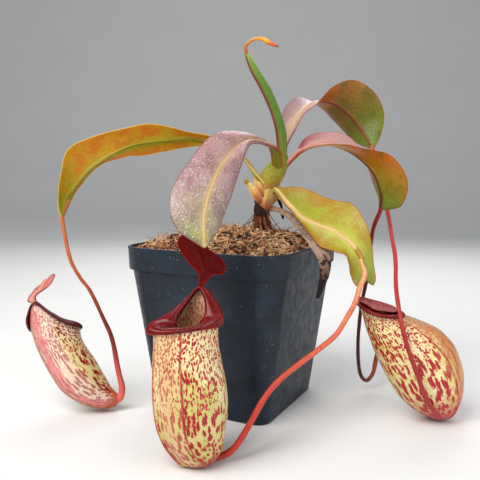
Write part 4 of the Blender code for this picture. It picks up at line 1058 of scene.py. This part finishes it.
def cup_paint(name, pale, lush, spot, rib, wings=(), marks=0.5, cover=0.52, tints=(), foot=0.25):
    """A pitcher's wall: cream to green, with crimson blotches that lengthen down the body.

    Each tint is a place round the wall in degrees, a half width in degrees, a colour, a strength
    and the share of the blotches that stay in it.
    """
    make = Paint(name, 0.25)
    share = make.field("share")
    body = make.field("body", "Vector")
    angle = make.angle_round(body)
    broad = make.plus(make.noise(0.05, 3, 0.5), make.band(share, 0.2, 1.0, 0.12, -0.10))
    colour = make.cover(pale, lush, broad, 0.35, 0.62)
    ragged = make.band(make.noise(0.2, 3), 0.2, 0.8, -12.0, 12.0)
    marked = 1.0
    for place, width, tone, strength, kept in tints:
        near = make.plus(make.away(angle, place), ragged)
        colour = make.cover(colour, tone, near, width * 0.35, width, strength, 0.0)
        marked = make.times(marked, make.band(near, width * 0.6, width, kept, 1.0))
    colour = make.cover(colour, make.mix(0.5, colour, spot), make.noise(0.6, 4, 0.6), 0.4, 0.75, 0.0, 0.22)
    top = make.band(share, 0.45, 0.85)
    long_ways = make.scaled(body, (1.0, 1.0, 0.34))
    round_ways = make.scaled(body, (1.0, 1.0, 0.75))
    distance = make.mix(top, make.cells(marks, long_ways), make.cells(marks * 1.75, round_ways))
    frayed = make.mix(top, make.noise(marks * 2.4, 3.0, 0.6, long_ways),
                      make.noise(marks * 4.0, 3.0, 0.6, round_ways))
    distance = make.plus(distance, make.band(frayed, 0.25, 0.75, -0.16, 0.16))
    patchy = make.band(make.noise(0.10, 2), 0.3, 0.7, cover - 0.04, cover + 0.04)
    inside = make.minus(patchy, distance)
    small = make.cells(marks * 3.2, round_ways)
    colour = make.cover(colour, make.mix(0.3, spot, pale), small, 0.26, 0.38, 0.6, 0.0)
    tone = make.mix(make.band(inside, 0.02, 0.22), make.mix(0.40, spot, (232, 90, 82)),
                    make.mix(0.20, spot, (130, 0, 14)))
    colour = make.mix(make.times(make.band(inside, -0.02, 0.05), marked), colour, tone)
    for wing in wings:
        line = make.times(make.band(make.away(angle, wing), 0.7, 2.8, 1.0, 0.0),
                          make.band(make.noise(0.35, 3), 0.25, 0.6, 0.5, 1.0))
        colour = make.mix(line, colour, rib)
    if wings:
        low = make.plus(share, make.band(make.noise(0.25, 3), 0.3, 0.7, -0.06, 0.06))
        colour = make.cover(colour, rib, low, foot * 0.4, foot, 0.85, 0.0)
    make.bump(make.noise(1.3, 3, 0.6, make.scaled(body, (1.0, 1.0, 0.4))), 0.22)
    make.bump(make.noise(0.35, 3), 0.35)
    return make.done(colour, soft=0.08, soft_radius=CUP_SOFT_RADIUS, shine=0.5)


def make_cup(name, node, pitcher, materials):
    """A hollow cup: the outer wall, a rounded edge at the mouth, and the inner wall with its floor."""
    near_wings = [wing + np.arange(-8.0, 8.5, 1.1) for wing in pitcher.wings]
    angles = np.unique(np.round(np.concatenate([np.arange(-180, 180, 3.0)] + near_wings), 3))
    first = pitcher.ring(0.0, angles)
    centre = first.mean(0)
    back_off = unit(pitcher.centres[0] - pitcher.centres[1]) * 0.25 * MM
    rings = [centre + (first - centre) * size + back_off * (1 - size) for size in (0.15, 0.5, 0.82)]
    outer = np.linspace(0, 1, 72)
    rings += [pitcher.smooth_ring(share, angles) for share in outer]
    outer_count = len(rings)
    inner = np.linspace(1, CUP_FLOOR, 34)
    rings += [pitcher.smooth_ring(share, angles, CUP_WALL, False) for share in inner]
    wall = rings[-1]
    floor = wall.mean(0)
    rings += [floor + (wall - floor) * size for size in (0.7, 0.35, 0.025)]
    rows, columns = len(rings), len(angles)
    kinds = [0] * ((outer_count - 1) * columns) + [1] * ((rows - outer_count) * columns) + [0, 1]
    share = np.repeat(np.concatenate(([0] * 3, outer, inner, [CUP_FLOOR] * 3)), columns)
    around = np.radians(np.tile(angles, rows))
    size = straight(pitcher.widths, share)
    middle = spline(pitcher.centres, np.linspace(0, 1, 40))
    length = np.linalg.norm(np.diff(middle, axis=0), axis=1).sum() / MM
    body = np.stack((size * np.sin(around), size * np.cos(around), share * length), -1)
    make_piece(name, np.array(rings), capped_faces(rows, columns), materials, node, kinds,
               {"share": share, "body": body}, wind=True)


def closed_curve(points, count):
    """A smooth closed curve through points, sampled at even shares of the way round."""
    points = np.asarray(points, float)
    number = len(points)
    place = np.linspace(0, number, count, endpoint=False)
    index = place.astype(int)
    corners = [points[(index + shift) % number] for shift in (-1, 0, 1, 2)]
    return smooth_step(*corners, (place - index)[:, None])


def make_lip(name, node, pitcher, material, ribs, front_size=1.0, arm_size=1.0, lean=0.0):
    """A rolled lip on the cup's rim, with fine ribs that end in small teeth.

    Front and arm sizes are its thickness there. Lean makes one arm the thicker.
    """
    steps = ribs * STEPS_PER_RIB
    angles = np.linspace(0, 360, steps, endpoint=False)
    edge, up, outward = pitcher.rim(angles)
    back = (1 - np.cos(np.radians(angles))) / 2
    swell = LIP_SWELL * back * np.sin(np.radians(angles)) ** 2
    size = pitcher.lip * (1 + swell - (1 - LIP_NECK) * back ** 6)
    size = size * (front_size + (arm_size - front_size) * np.clip(back / 0.4, 0, 1) ** 1.5)
    size = size * (1 + lean * np.sin(np.radians(angles)))
    arms = np.sin(math.pi * back) ** 2
    section = closed_curve(LIP_SECTION, LIP_POINTS)
    away = unit(section - np.array(LIP_CENTRE))
    top = np.clip((section[:, 1] + 0.4) / 1.2, 0, 1)
    outer = np.clip((section[:, 0] - 1.2) / 1.0, 0, 1)
    inner = np.clip((-section[:, 0] - 3.4) / 0.8, 0, 1)
    ribbed = np.maximum(top, outer)
    crest = np.cos(np.linspace(0, 2 * math.pi * ribs, steps, endpoint=False))
    tooth = np.maximum(0, crest) ** 2
    waver = 0.10 * np.sin(np.radians(angles) * 5 + 0.8) + 0.07 * np.sin(np.radians(angles) * 11 + 2.0)
    grid = np.zeros((steps, LIP_POINTS, 3))
    for index, (out, high) in enumerate(section):
        relief = (crest * 0.13 + waver) * ribbed[index] / np.maximum(size, 0.4)
        hook = LIP_TEETH * (tooth - 0.4) * (outer[index] + inner[index])
        x = (out + away[index][0] * relief + hook * np.sign(out)) * size
        y = (high + away[index][1] * relief - 0.3 * hook) * size
        x = x * (1 - 0.5 * inner[index] * back ** 2)
        if out < -1:
            x = x * (1 + 0.9 * arms)
        y = y + inner[index] * (0.8 - y) * back ** 2
        if high < 0 and out > 0:
            x = np.maximum(x, LIP_CLEAR + 0.2 * (out - 1.0))
        grid[:, index] = edge + (outward * x[:, None] + up * y[:, None]) * MM
    faces = grid_faces(steps, LIP_POINTS, closed=True, ring=True)
    fields = {"ribs": np.repeat(crest, LIP_POINTS), "inward": np.tile(section[:, 0], steps)}
    make_piece(name, grid, faces, (material,), node, None, fields, wind=True)


def lip_paint(name, deep, bright, dark):
    make = Paint(name, 0.16)
    colour = make.cover(deep, bright, make.noise(0.25, 4, 0.6), 0.35, 0.7)
    colour = make.cover(colour, dark, make.field("ribs"), -1.0, 0.3, 0.55, 0.0)
    colour = make.cover(colour, dark, make.field("inward"), -4.4, -2.4, 0.6, 0.0)
    make.bump(make.noise(1.0, 3), 0.25)
    return make.done(colour, soft=0.02, coat=0.4, shine=0.12)


def lid_paint(name, base, tint, edge, rough=0.42, rib=None, veins=0.3):
    make = Paint(name, rough)
    mottled = make.noise(0.45, 5, 0.65)
    fine = make.noise(2.2, 4, 0.7)
    colour = make.cover(base, tint, mottled, 0.32, 0.70)
    colour = make.cover(colour, edge, fine, 0.5, 0.75, 0.0, veins)
    colour = make.cover(colour, edge, make.field("from_edge"), 0.1, 1.1, 0.9, 0.0)
    if rib is not None:
        colour = make.cover(colour, rib, make.field("from_rib"), 0.6, 1.8, 0.8, 0.0)
    make.bump(fine, 0.25)
    make.bump(mottled, 0.3)
    return make.done(colour, soft=0.03, shine=0.12)


def make_lid(name, node, pitcher, rows, skin):
    """A lid on a stalk that stands on the lip's highest point."""
    edge, up, outward = (values[0] for values in pitcher.rim(np.array((180.0,))))
    seat = edge + up * (LIP_CREST * LIP_NECK * pitcher.lip - 0.6) * MM
    beside = unit(np.cross(up, outward)) * LID_STALK / 2 * MM
    if beside.dot(at(rows[0][0]) - at(rows[0][1])) < 0:
        beside = -beside
    blade(name, node, rows, (skin, skin), False, stations=60, columns=41, bow=0.8, wave=0.15,
          base=1.4, rib=1.5, tip=0.9, seat=(seat + beside, seat, seat - beside))


def make_pitchers():
    front_wall = cup_paint(
        "pitcher_front_wall", (240, 230, 180), (212, 210, 128), (178, 18, 36), (176, 26, 32), (-38, 18),
        0.56, 0.495, ((-10, 27, (226, 196, 148), 0.75, 0.8), (-75, 50, (206, 164, 104), 0.8, 0.8)))
    front_inner = cup_paint(
        "pitcher_front_inside", (230, 204, 162), (206, 178, 128), (196, 126, 104), (150, 40, 40), marks=0.6,
        cover=0.48)
    left_wall = cup_paint(
        "pitcher_left_wall", (246, 232, 198), (232, 220, 156), (158, 22, 48), (200, 100, 60), (-30, 30),
        0.60, 0.53, ((168, 46, (250, 224, 214), 0.8, 0.7), (-134, 38, (198, 116, 84), 0.9, 0.7), (-172, 19,
        (236, 132, 142), 0.8, 0.7)))
    right_wall = cup_paint(
        "pitcher_right_wall", (242, 234, 178), (224, 216, 134), (184, 30, 42), (190, 50, 48), (-15, 58),
        0.54, 0.52, ((16, 54, (210, 156, 94), 0.9, 0.55), (90, 24, (246, 238, 196), 0.6, 1.0)), foot=0.50)
    inner = cup_paint(
        "pitcher_inside", (206, 176, 128), (180, 150, 96), (140, 30, 42), (150, 40, 40), marks=0.6,
        cover=0.48)
    crimson = lip_paint("lip_crimson_gloss", (118, 0, 8), (148, 2, 16), (60, 0, 4))
    maroon = lip_paint("lip_maroon_gloss", (88, 4, 22), (122, 14, 38), (50, 0, 12))
    wine = lip_paint("lip_wine_gloss", (128, 30, 32), (160, 56, 48), (90, 12, 16))
    blood = lid_paint("lid_blood_skin", (98, 2, 4), (126, 8, 8), (150, 20, 16), veins=0.25, rough=0.6)
    rose = lid_paint("lid_rose_skin", (192, 110, 108), (214, 154, 146), (158, 66, 66), rib=(230, 172, 142))
    mauve = lid_paint("lid_mauve_skin", (136, 40, 48), (186, 104, 98), (120, 26, 30))
    front = Pitcher(PITCHER_FRONT)
    left = Pitcher(PITCHER_LEFT)
    right = Pitcher(PITCHER_RIGHT)
    make_cup("pitcher_body_front", "pitcher_cup_front", front, (front_wall, front_inner))
    make_cup("pitcher_body_left", "pitcher_cup_left", left, (left_wall, inner))
    make_cup("pitcher_body_right", "pitcher_cup_right", right, (right_wall, inner))
    make_lip("lip_front", "pitcher_lip_front", front, crimson, 104, 0.62, 1.14, lean=-0.22)
    make_lip("lip_left", "pitcher_lip_left", left, maroon, 88, 0.9, 1.4)
    make_lip("lip_right", "pitcher_lip_right", right, wine, 88)
    make_lid("lid_front", "pitcher_lid_front", front, LID_FRONT, blood)
    make_lid("lid_left", "pitcher_lid_left", left, LID_LEFT, rose)
    make_lid("lid_right", "pitcher_lid_right", right, LID_RIGHT, mauve)
    young = cup_paint(
        "pitcher_young_skin", (196, 176, 104), (160, 154, 76), (130, 36, 34), (150, 40, 40), marks=0.7)
    radii = spline(PITCHER_YOUNG_RADII, np.linspace(0, 1, 49))
    points, faces, tube = tube_arrays(at(PITCHER_YOUNG_ROUTE), radii, 48, 28)
    fields = {"share": tube["along"], "body": points / MM}
    make_piece("young_pitcher", points, faces, (young,), "pitcher_young", None, fields)


# Pot

def rounded_square(width, radius, height, per_corner=12):
    """Points in metres round a square with rounded corners, all sizes in millimetres."""
    half = width / 2
    outline = []
    for number, (sign_x, sign_y) in enumerate(((1, 1), (-1, 1), (-1, -1), (1, -1))):
        for step in range(per_corner):
            angle = math.radians(90 * (number + step / (per_corner - 1)))
            outline.append((sign_x * (half - radius) + radius * math.cos(angle),
                            sign_y * (half - radius) + radius * math.sin(angle), height))
    return np.array(outline) * MM


def pot_width(height):
    """The pot's outer width and corner radius at a height, all in millimetres."""
    share = height / POT_BAND_FOOT
    width = POT_BASE + (POT_UNDER_RIM - POT_BASE) * share
    corner = POT_CORNER_BASE + (POT_CORNER_TOP - POT_CORNER_BASE) * share
    return width, corner


def make_pot():
    make = Paint("pot_plastic_skin", 0.42)
    scuffs = make.noise(0.06, 5, 0.65)
    colour = make.cover((32, 42, 54), (46, 60, 75), scuffs, 0.3, 0.7)
    smear = make.noise(0.12, 5, 0.7, make.longer(0.25))
    colour = make.cover(colour, (80, 92, 104), smear, 0.56, 0.75, 0.0, 0.30)
    height = make.node("SeparateXYZ", Vector=make.place).outputs["Z"]
    dusty = make.band(height, 30.0, 90.0, 0.04, 0.0)
    dots = make.times(make.band(make.cells(0.42), 0.05, 0.14, 1.0, 0.0),
                      make.band(make.minus(make.noise(0.09, 3), dusty), 0.50, 0.57))
    scratch = make.times(make.band(make.cells(0.5, make.longer(1.1, 0.5)), 0.04, 0.11, 0.9, 0.0),
                         make.band(make.minus(make.noise(0.13, 3), dusty), 0.52, 0.60))
    dust = make.times(make.math("MAXIMUM", dots, scratch), 0.7)
    colour = make.mix(dust, colour, (176, 180, 182))
    make.bump(make.noise(0.9, 4, 0.6), 0.10)
    make.bump(make.noise(0.04, 2), 0.6)
    rough = make.band(make.noise(0.2, 4), 0.3, 0.7, 0.32, 0.52)
    plastic = make.done(colour, rough, shine=0.3)
    outlines = [(POT_BASE - 2 * POT_EDGE, POT_CORNER_BASE - POT_EDGE, 0.0)]
    for step in range(1, 4):
        lean = math.radians(30 * step)
        height = POT_EDGE * (1 - math.cos(lean))
        cut = POT_EDGE * (1 - math.sin(lean))
        width, corner = pot_width(height)
        outlines.append((width - 2 * cut, corner - cut, height))
    for height in (4, 12, 24, 36, 48, 60, 72, POT_BAND_FOOT - 1.0, POT_BAND_FOOT - 0.1):
        outlines.append((*pot_width(height), height))
    # The rim band, from its foot over the lip to the inside: narrower by, corner more by, height
    for narrower, rounder, height in (
            (1.9, 1.6, POT_BAND_FOOT), (1.2, 1.6, POT_BAND_FOOT + 0.25), (1.0, 1.6, POT_BAND_FOOT + 0.8),
            (0.35, 1.9, POT_HEIGHT - 2.6), (0.2, 2.0, POT_HEIGHT - 1.6), (0.0, 2.0, POT_HEIGHT - 1.3),
            (0.0, 2.0, POT_HEIGHT - 0.5), (0.5, 1.8, POT_HEIGHT - 0.08), (1.2, 1.6, POT_HEIGHT),
            (2 * POT_WALL - 0.3, 0.7, POT_HEIGHT - 0.1), (2 * POT_WALL, 0.6, POT_HEIGHT - 0.5),
            (2 * POT_WALL + 1.0, 0.4, POT_BAND_FOOT + 0.6)):
        outlines.append((POT_RIM - narrower, POT_CORNER_TOP + rounder, height))
    for height in (POT_BAND_FOOT - 1.5, POT_BAND_FOOT * 0.5, POT_FLOOR):
        width, corner = pot_width(height)
        outlines.append((width - 2 * POT_WALL, corner - POT_WALL * 0.5, height))
    grid = np.array([rounded_square(*outline) for outline in outlines])
    pot = make_mesh("nursery_pot", grid, capped_faces(*grid.shape[:2]), (plastic,))
    fix_winding(pot)
    cutters = bpy.data.collections.new("drain_cutters")
    angles = np.linspace(0, 2 * math.pi, DRAIN_SIDES, endpoint=False)
    circle = np.stack((np.cos(angles), np.sin(angles), angles * 0), -1) * DRAIN_HOLE
    for sign_x in (-1, 1):
        for sign_y in (-1, 1):
            centre = np.array((sign_x * DRAIN_PLACE, sign_y * DRAIN_PLACE, 0.0))
            points = np.vstack([centre + circle + (0, 0, height) for height in (-2, POT_FLOOR + 2)]) * MM
            mesh = bpy.data.meshes.new("drain")
            mesh.from_pydata(points.tolist(), [], capped_faces(2, DRAIN_SIDES))
            cutters.objects.link(bpy.data.objects.new("drain", mesh))
    boolean = pot.modifiers.new("drain", "BOOLEAN")
    boolean.operation = "DIFFERENCE"
    boolean.operand_type = "COLLECTION"
    boolean.collection = cutters
    boolean.solver = "EXACT"
    drained = pot.evaluated_get(bpy.context.evaluated_depsgraph_get())
    mesh = bpy.data.meshes.new_from_object(drained)
    pot.modifiers.clear()
    pot.data = mesh
    for cutter in list(cutters.objects):
        bpy.data.objects.remove(cutter)
    bpy.data.collections.remove(cutters)
    mesh.shade_smooth()
    mesh.set_sharp_from_angle(angle=POT_SHARP)
    settle(pot, "pot")


# Potting mix

def soil_height(x, y):
    """Height of the mix's surface over a place in millimetres: a mound with lumps."""
    edge = max(abs(x), abs(y)) / (POT_RIM / 2 - 3)
    mound = SOIL_EDGE + (SOIL_CROWN - SOIL_EDGE) * (1 - edge ** 2.2)
    lumps = noise.noise(Vector((x * 0.16, y * 0.16, 0.3)))
    crumbs = 0.6 * noise.noise(Vector((x * 0.4, y * 0.4, 4.1)))
    return mound + SOIL_ROUGHNESS * (lumps + crumbs) * (1 - edge ** 6)


def crumb_shape():
    """The corners and faces of a twenty-sided solid, on a ball of size one."""
    golden = (1 + math.sqrt(5)) / 2
    corners = []
    for a in (-1, 1):
        for b in (-golden, golden):
            corners += [(0, a, b), (a, b, 0), (b, 0, a)]
    corners = unit(np.array(corners, float))
    faces = []
    for i in range(12):
        for j in range(i + 1, 12):
            for k in range(j + 1, 12):
                spans = [np.linalg.norm(corners[p] - corners[q]) for p, q in ((i, j), (j, k), (i, k))]
                if max(spans) < 1.1:
                    normal = np.cross(corners[j] - corners[i], corners[k] - corners[i])
                    faces.append([i, j, k] if normal.dot(corners[i]) > 0 else [i, k, j])
    return corners, faces


def turn_matrix(picker):
    """A random turn: any way round, and a lean and a roll that are mostly small."""
    spin = picker.uniform(0, 6.28)
    lean = picker.gauss(0, 0.5)
    roll = picker.gauss(0, 0.5)
    cos = math.cos
    sin = math.sin
    about_z = np.array(((cos(spin), -sin(spin), 0), (sin(spin), cos(spin), 0), (0, 0, 1)))
    about_y = np.array(((cos(lean), 0, sin(lean)), (0, 1, 0), (-sin(lean), 0, cos(lean))))
    about_x = np.array(((1, 0, 0), (0, cos(roll), -sin(roll)), (0, sin(roll), cos(roll))))
    return about_z @ about_y @ about_x


def inside_soil(x, y, margin):
    """Whether a place is inside the pot's rounded opening, less a margin."""
    half = POT_RIM / 2 - POT_WALL - 0.8 - margin
    corner = POT_CORNER_TOP
    over_x = max(0.0, abs(x) - (half - corner))
    over_y = max(0.0, abs(y) - (half - corner))
    return abs(x) < half and abs(y) < half and math.hypot(over_x, over_y) < corner


def make_mound():
    base = Paint("mix_ground", 0.95)
    grain = base.noise(0.6, 6, 0.75)
    ground = base.ramp(
        grain, [(0.3, 30, 18, 12), (0.5, 66, 40, 26), (0.65, 120, 78, 50), (0.8, 160, 116, 80)])
    base.bump(grain, 1.2)
    dirt = base.done(ground)

    clearance = 2 * (POT_WALL + 0.3)
    rings = []
    for height in (POT_FLOOR + 0.3, POT_BAND_FOOT * 0.5, POT_BAND_FOOT - 2.0):
        width, corner = pot_width(height)
        rings.append(rounded_square(width - clearance, corner - POT_WALL * 0.5, height, 16))
    outline = rounded_square(POT_RIM - clearance - 1.0, POT_CORNER_TOP, 0.0, 16)
    rings.append(outline + np.array((0, 0, (SOIL_EDGE - 1.5) * MM)))
    for scale in np.linspace(1.0, 0.02, 46):
        flat = outline * scale / MM
        heights = np.array([soil_height(x, y) for x, y, _ in flat])
        rough = np.array([noise.noise(Vector((x, y, 7.0)) * 0.9) for x, y, _ in flat])
        rings.append(np.stack((flat[:, 0], flat[:, 1], heights - 0.5 + 0.5 * rough), -1) * MM)
    faces = capped_faces(len(rings), len(outline))
    make_piece("mix_mound", np.array(rings), faces, (dirt,), "soil", wind=True)


def make_chips(picker):
    husk = Paint("mix_husk", 0.9)
    chip = husk.ramp(
        husk.field("tint"), [(0.0, 40, 24, 18), (0.25, 84, 50, 34), (0.42, 140, 86, 56),
        (0.6, 190, 134, 94), (0.82, 222, 178, 136), (1.0, 240, 210, 176)])
    streaks = husk.noise(1.4, 5, 0.75)
    chip = husk.cover(chip, (84, 46, 26), streaks, 0.45, 0.75, 0.0, 0.55)
    husk.bump(streaks, 0.5)
    chips_paint = husk.done(chip)
    white = Paint("mix_perlite", 0.85)
    pale = white.cover((240, 226, 208), (206, 182, 160), white.noise(1.1, 4), 0.4, 0.7)
    white.bump(white.noise(2.2, 4), 0.4)
    perlite = white.done(pale)

    corners, crumb_faces = crumb_shape()
    parts = []
    kinds = []
    stem_x, stem_y, _ = at(STEM_ROUTE[2]) / MM
    while len(parts) < (CHIPS[1]):
        x = picker.uniform(-CHIP_REACH, CHIP_REACH)
        y = picker.uniform(-CHIP_REACH, CHIP_REACH)
        draw = picker.random()
        small, large, longest, thinnest, thickest = next(row[1:] for row in CHIP_SIZES if draw < row[0])
        size = picker.uniform(small, large)
        shape = (size * picker.uniform(1, longest), size, size * picker.uniform(thinnest, thickest))
        if not inside_soil(x, y, shape[0] * 0.6) or math.hypot(x - stem_x, y - stem_y) < STEM_CLEAR:
            continue
        lump = corners * np.array([[picker.uniform(0.78, 1.15)] for _ in range(12)]) * np.array(shape)
        place = np.array((x, y, soil_height(x, y) - 0.1 + picker.uniform(-0.4, 0.9)))
        points = (lump @ turn_matrix(picker).T + place) * MM
        kind = 1 if picker.random() < PERLITE_SHARE and size < PERLITE_LIMIT else 0
        tint = picker.gauss(0.22, 0.12) if picker.random() < DARK_SHARE else picker.gauss(0.66, 0.18)
        parts.append((points, crumb_faces, {"tint": np.full(12, min(1.0, max(0.0, tint)))}))
        kinds.append(kind)
    points, faces, fields = merge(parts)
    kinds = np.repeat(kinds, len(crumb_faces))
    make_piece("mix_chips", points, faces, (chips_paint, perlite), None, kinds, fields,
               smooth=False)


def make_fibres(picker):
    straw = Paint("mix_fibre", 0.8)
    blonde = straw.ramp(
        straw.field("tint"), [(0.0, 140, 92, 58), (0.4, 206, 160, 112), (1.0, 240, 214, 172)])
    straw.bump(straw.noise(3.0, 3), 0.1)
    fibre_paint = straw.done(blonde)

    parts = []
    for _ in range(FIBRES[1]):
        x = picker.uniform(-FIBRE_REACH, FIBRE_REACH)
        y = picker.uniform(-FIBRE_REACH, FIBRE_REACH)
        if not inside_soil(x, y, 1.0):
            continue
        length = picker.uniform(3, 11)
        heading = picker.uniform(0, 6.28)
        climb = abs(picker.gauss(0.0, 0.35)) if picker.random() < LYING_SHARE else picker.uniform(0.8, 1.4)
        curve = picker.uniform(-0.5, 0.5)
        start = np.array((x, y, soil_height(x, y) + 0.1))
        route = []
        for share in np.linspace(0, 1, 5):
            turned = heading + curve * share
            ahead = np.array((math.cos(turned) * math.cos(climb), math.sin(turned) * math.cos(climb),
                              math.sin(climb) * (1 - 0.35 * share)))
            spot = start + length * share * ahead
            spot[2] = max(spot[2], soil_height(*np.clip(spot[:2], -FIBRE_REACH, FIBRE_REACH)) + 0.35)
            route.append(spot)
        if not inside_soil(route[-1][0], route[-1][1], 0.5):
            continue
        girth = picker.uniform(0.12, 0.32)
        parts.append(tinted_tube(route, (girth, girth * 0.8, girth * 0.45), 6, 4, picker.random()))
    points, faces, fields = merge(parts)
    make_piece("mix_fibres", points, faces, (fibre_paint,), None, None, fields)


# Stem

def make_stem():
    make = Paint("stem_skin", 0.6)
    colour = make.ramp(
        make.field("height"), [(0.0, 60, 38, 26), (0.25, 40, 24, 18), (0.40, 30, 18, 14),
        (0.50, 92, 50, 26), (0.58, 178, 110, 50), (0.68, 200, 150, 70), (0.80, 176, 170, 60),
        (0.92, 150, 160, 50), (1.0, 130, 150, 50)])
    long_grain = make.noise(0.9, 5, 0.7, make.longer(0.22, 1.6))
    colour = make.cover(colour, (110, 56, 24), long_grain, 0.45, 0.7, 0.0, 0.6)
    make.bump(long_grain, 0.7)
    bark = make.done(colour, soft=0.05)
    radii = spline(STEM_RADII, np.linspace(0, 1, 91)) - 0.05
    parts = [tube_arrays(at(STEM_ROUTE), radii, 90, 36)]
    for route, ends in ((STUB_UPPER, (1.9, 1.2)), (STUB_LOWER, (2.1, 1.3))):
        parts.append(tube_arrays(at(route), ends, 16, 16))
    points, faces, _ = merge(parts)
    lumps = np.array([noise.noise(Vector(point) * 380) for point in points])
    outward = unit((points - at(STEM_ROUTE[3])) * (1, 1, 0))
    points = points + outward * (lumps * 0.35)[:, None] * MM
    low = STEM_ROUTE[0][2] * MM
    high = STEM_ROUTE[-1][2] * MM
    fields = {"height": (points[:, 2] - low) / (high - low)}
    make_piece("stem_bark", points, faces, (bark,), "stem", None, fields)


def make_sheaths():
    scale = Paint("sheath_skin", 0.5)
    colour = scale.ramp(
        scale.field("along"), [(0.0, 150, 84, 44), (0.3, 206, 144, 90), (0.6, 224, 196, 124),
        (0.9, 208, 202, 112), (1.0, 140, 104, 56)])
    grain = scale.noise(1.0, 5, 0.7, scale.longer(0.3, 1.6))
    colour = scale.cover(colour, (196, 96, 60), grain, 0.42, 0.7, 0.0, 0.6)
    colour = scale.cover(colour, (236, 206, 150), scale.field("from_edge"), 0.1, 0.6, 0.6, 0.0)
    scale.bump(grain, 0.4)
    sheath_skin = scale.done(colour, soft=0.1)
    for number, rows in enumerate(SHEATHS):
        blade("stem_sheath_%d" % number, None, rows, (sheath_skin, sheath_skin), True,
              stations=36, columns=25, bow=0.35, wave=0.25, base=0.7, rib=0.5, tip=0.4, crumple=0.25)
    char = Paint("sheath_black", 0.7)
    char_grain = char.noise(0.9, 5, 0.7)
    char.bump(char_grain, 0.8)
    black = char.done(char.cover((26, 17, 14), (96, 56, 38), char_grain, 0.4, 0.7))
    blade("stem_sheath_dark", None, DARK_SHEATH, (black, black), True, stations=36, columns=25,
          bow=0.3, wave=0.5, waves=4.0, base=0.8, rib=0.6, tip=0.5, crumple=0.7)


def make_roots():
    root = Paint("root_skin", 0.85)
    tone = root.ramp(root.field("tint"), [(0.0, 60, 34, 24), (0.4, 140, 78, 52), (1.0, 206, 160, 116)])
    tone = root.cover(tone, (60, 32, 24), root.noise(1.2, 4, 0.7), 0.45, 0.7, 0.0, 0.7)
    root.bump(root.noise(2.0, 4), 0.3)
    roots_paint = root.done(tone)
    picker = random.Random(17)
    middle = at(ROOT_MIDDLE) / MM

    def beside(turn, out):
        """A place beside the stem, with the level of the mix there."""
        x = middle[0] + out * math.cos(turn)
        y = middle[1] + out * math.sin(turn)
        return x, y, soil_height(x, y)

    parts = []
    for _ in range(THIN_ROOTS):
        turn = picker.uniform(0, 6.28)
        reach = picker.uniform(5, 13)
        top = picker.uniform(101, 116)
        route = []
        for share in (0.0, 0.3, 0.65, 1.0):
            x, y, ground = beside(turn + 0.5 * share, 3.4 + reach * share ** 1.3)
            route.append((x, y, top + (ground - 0.6 - top) * share ** 0.8 + picker.uniform(-0.6, 0.6)))
        girth = picker.uniform(0.2, 0.55)
        parts.append(tinted_tube(route, (girth, girth, girth * 0.7, girth * 0.5), 14, 6, picker.random()))
    shares = np.linspace(0, 1, 31)
    for turn, top, reach, girth in THICK_ROOTS:
        route = []
        for share in (0.0, 0.35, 0.7, 1.0):
            x, y, ground = beside(turn + 0.4 * share, 3.2 + reach * share ** 1.2)
            route.append((x, y, top + (ground - 1.0 - top) * share))
        radii = girth * (1 - 0.3 * shares + 0.13 * np.sin(shares * 34 + turn) + 0.08 * np.sin(shares * 79))
        parts.append(tinted_tube(route, radii, 30, 12, 0.35 + 0.12 * math.sin(turn * 7)))
    points, faces, fields = merge(parts)
    make_piece("stem_roots", points, faces, (roots_paint,), None, None, fields)


# Stage

def make_stage():
    """A pale floor that curves up behind the plant, square to the camera."""
    pale = Paint("stage_pale", 0.9)
    material = pale.done(pale.mix(pale.noise(0.01, 2), (229, 229, 228), (234, 234, 233)))
    forward = np.array((-math.sin(PLANT_TURN), math.cos(PLANT_TURN)))
    sideways = np.array((forward[1], -forward[0]))
    points = []
    for reach, height in SWEEP_LINE:
        for side in (-SWEEP_WIDTH / 2, SWEEP_WIDTH / 2):
            points.append((*(forward * reach + sideways * side), height))
    faces = [[2 * i, 2 * i + 1, 2 * i + 3, 2 * i + 2] for i in range(len(SWEEP_LINE) - 1)]
    mesh = bpy.data.meshes.new("stage_sweep")
    mesh.from_pydata(points, [], faces)
    mesh.materials.append(material)
    mesh.shade_smooth()
    sweep = add_object("stage_sweep", mesh)


def make_lights():
    for name, place, aim, size, power, colour in LAMPS:
        light = bpy.data.lights.new(name, "AREA")
        light.shape = "RECTANGLE"
        light.size, light.size_y = size
        light.energy = power
        light.color = colour
        lamp = add_object(name, light)
        lamp.location = Vector(at(place))
        lamp.rotation_euler = (Vector(at(aim)) - lamp.location).to_track_quat("-Z", "Y").to_euler()
    world = bpy.data.worlds.new("studio")
    world.use_nodes = True
    background = world.node_tree.nodes["Background"]
    background.inputs["Color"].default_value = SKY_COLOUR
    background.inputs["Strength"].default_value = SKY_STRENGTH
    bpy.context.scene.world = world
    bpy.context.scene.view_settings.view_transform = "Standard"


def make_camera():
    lens = bpy.data.cameras.new("photo_camera")
    lens.sensor_width = CAMERA_SENSOR
    lens.lens = CAMERA_LENS
    lens.clip_start = 0.01
    lens.clip_end = 20.0
    camera = add_object("photo_camera", lens)
    camera.location = Vector(at(CAMERA_PLACE))
    camera.rotation_euler = (CAMERA_TILT, 0.0, PLANT_TURN - CAMERA_PAN)
    bpy.context.scene.camera = camera


make_pot()
make_mound()
mix_picker = random.Random(5)
make_chips(mix_picker)
make_fibres(mix_picker)
make_stem()
make_sheaths()
make_roots()
make_leaves()
make_dead_leaf()
make_tendrils()
make_spear()
make_pitchers()
make_stage()
make_lights()
make_camera()
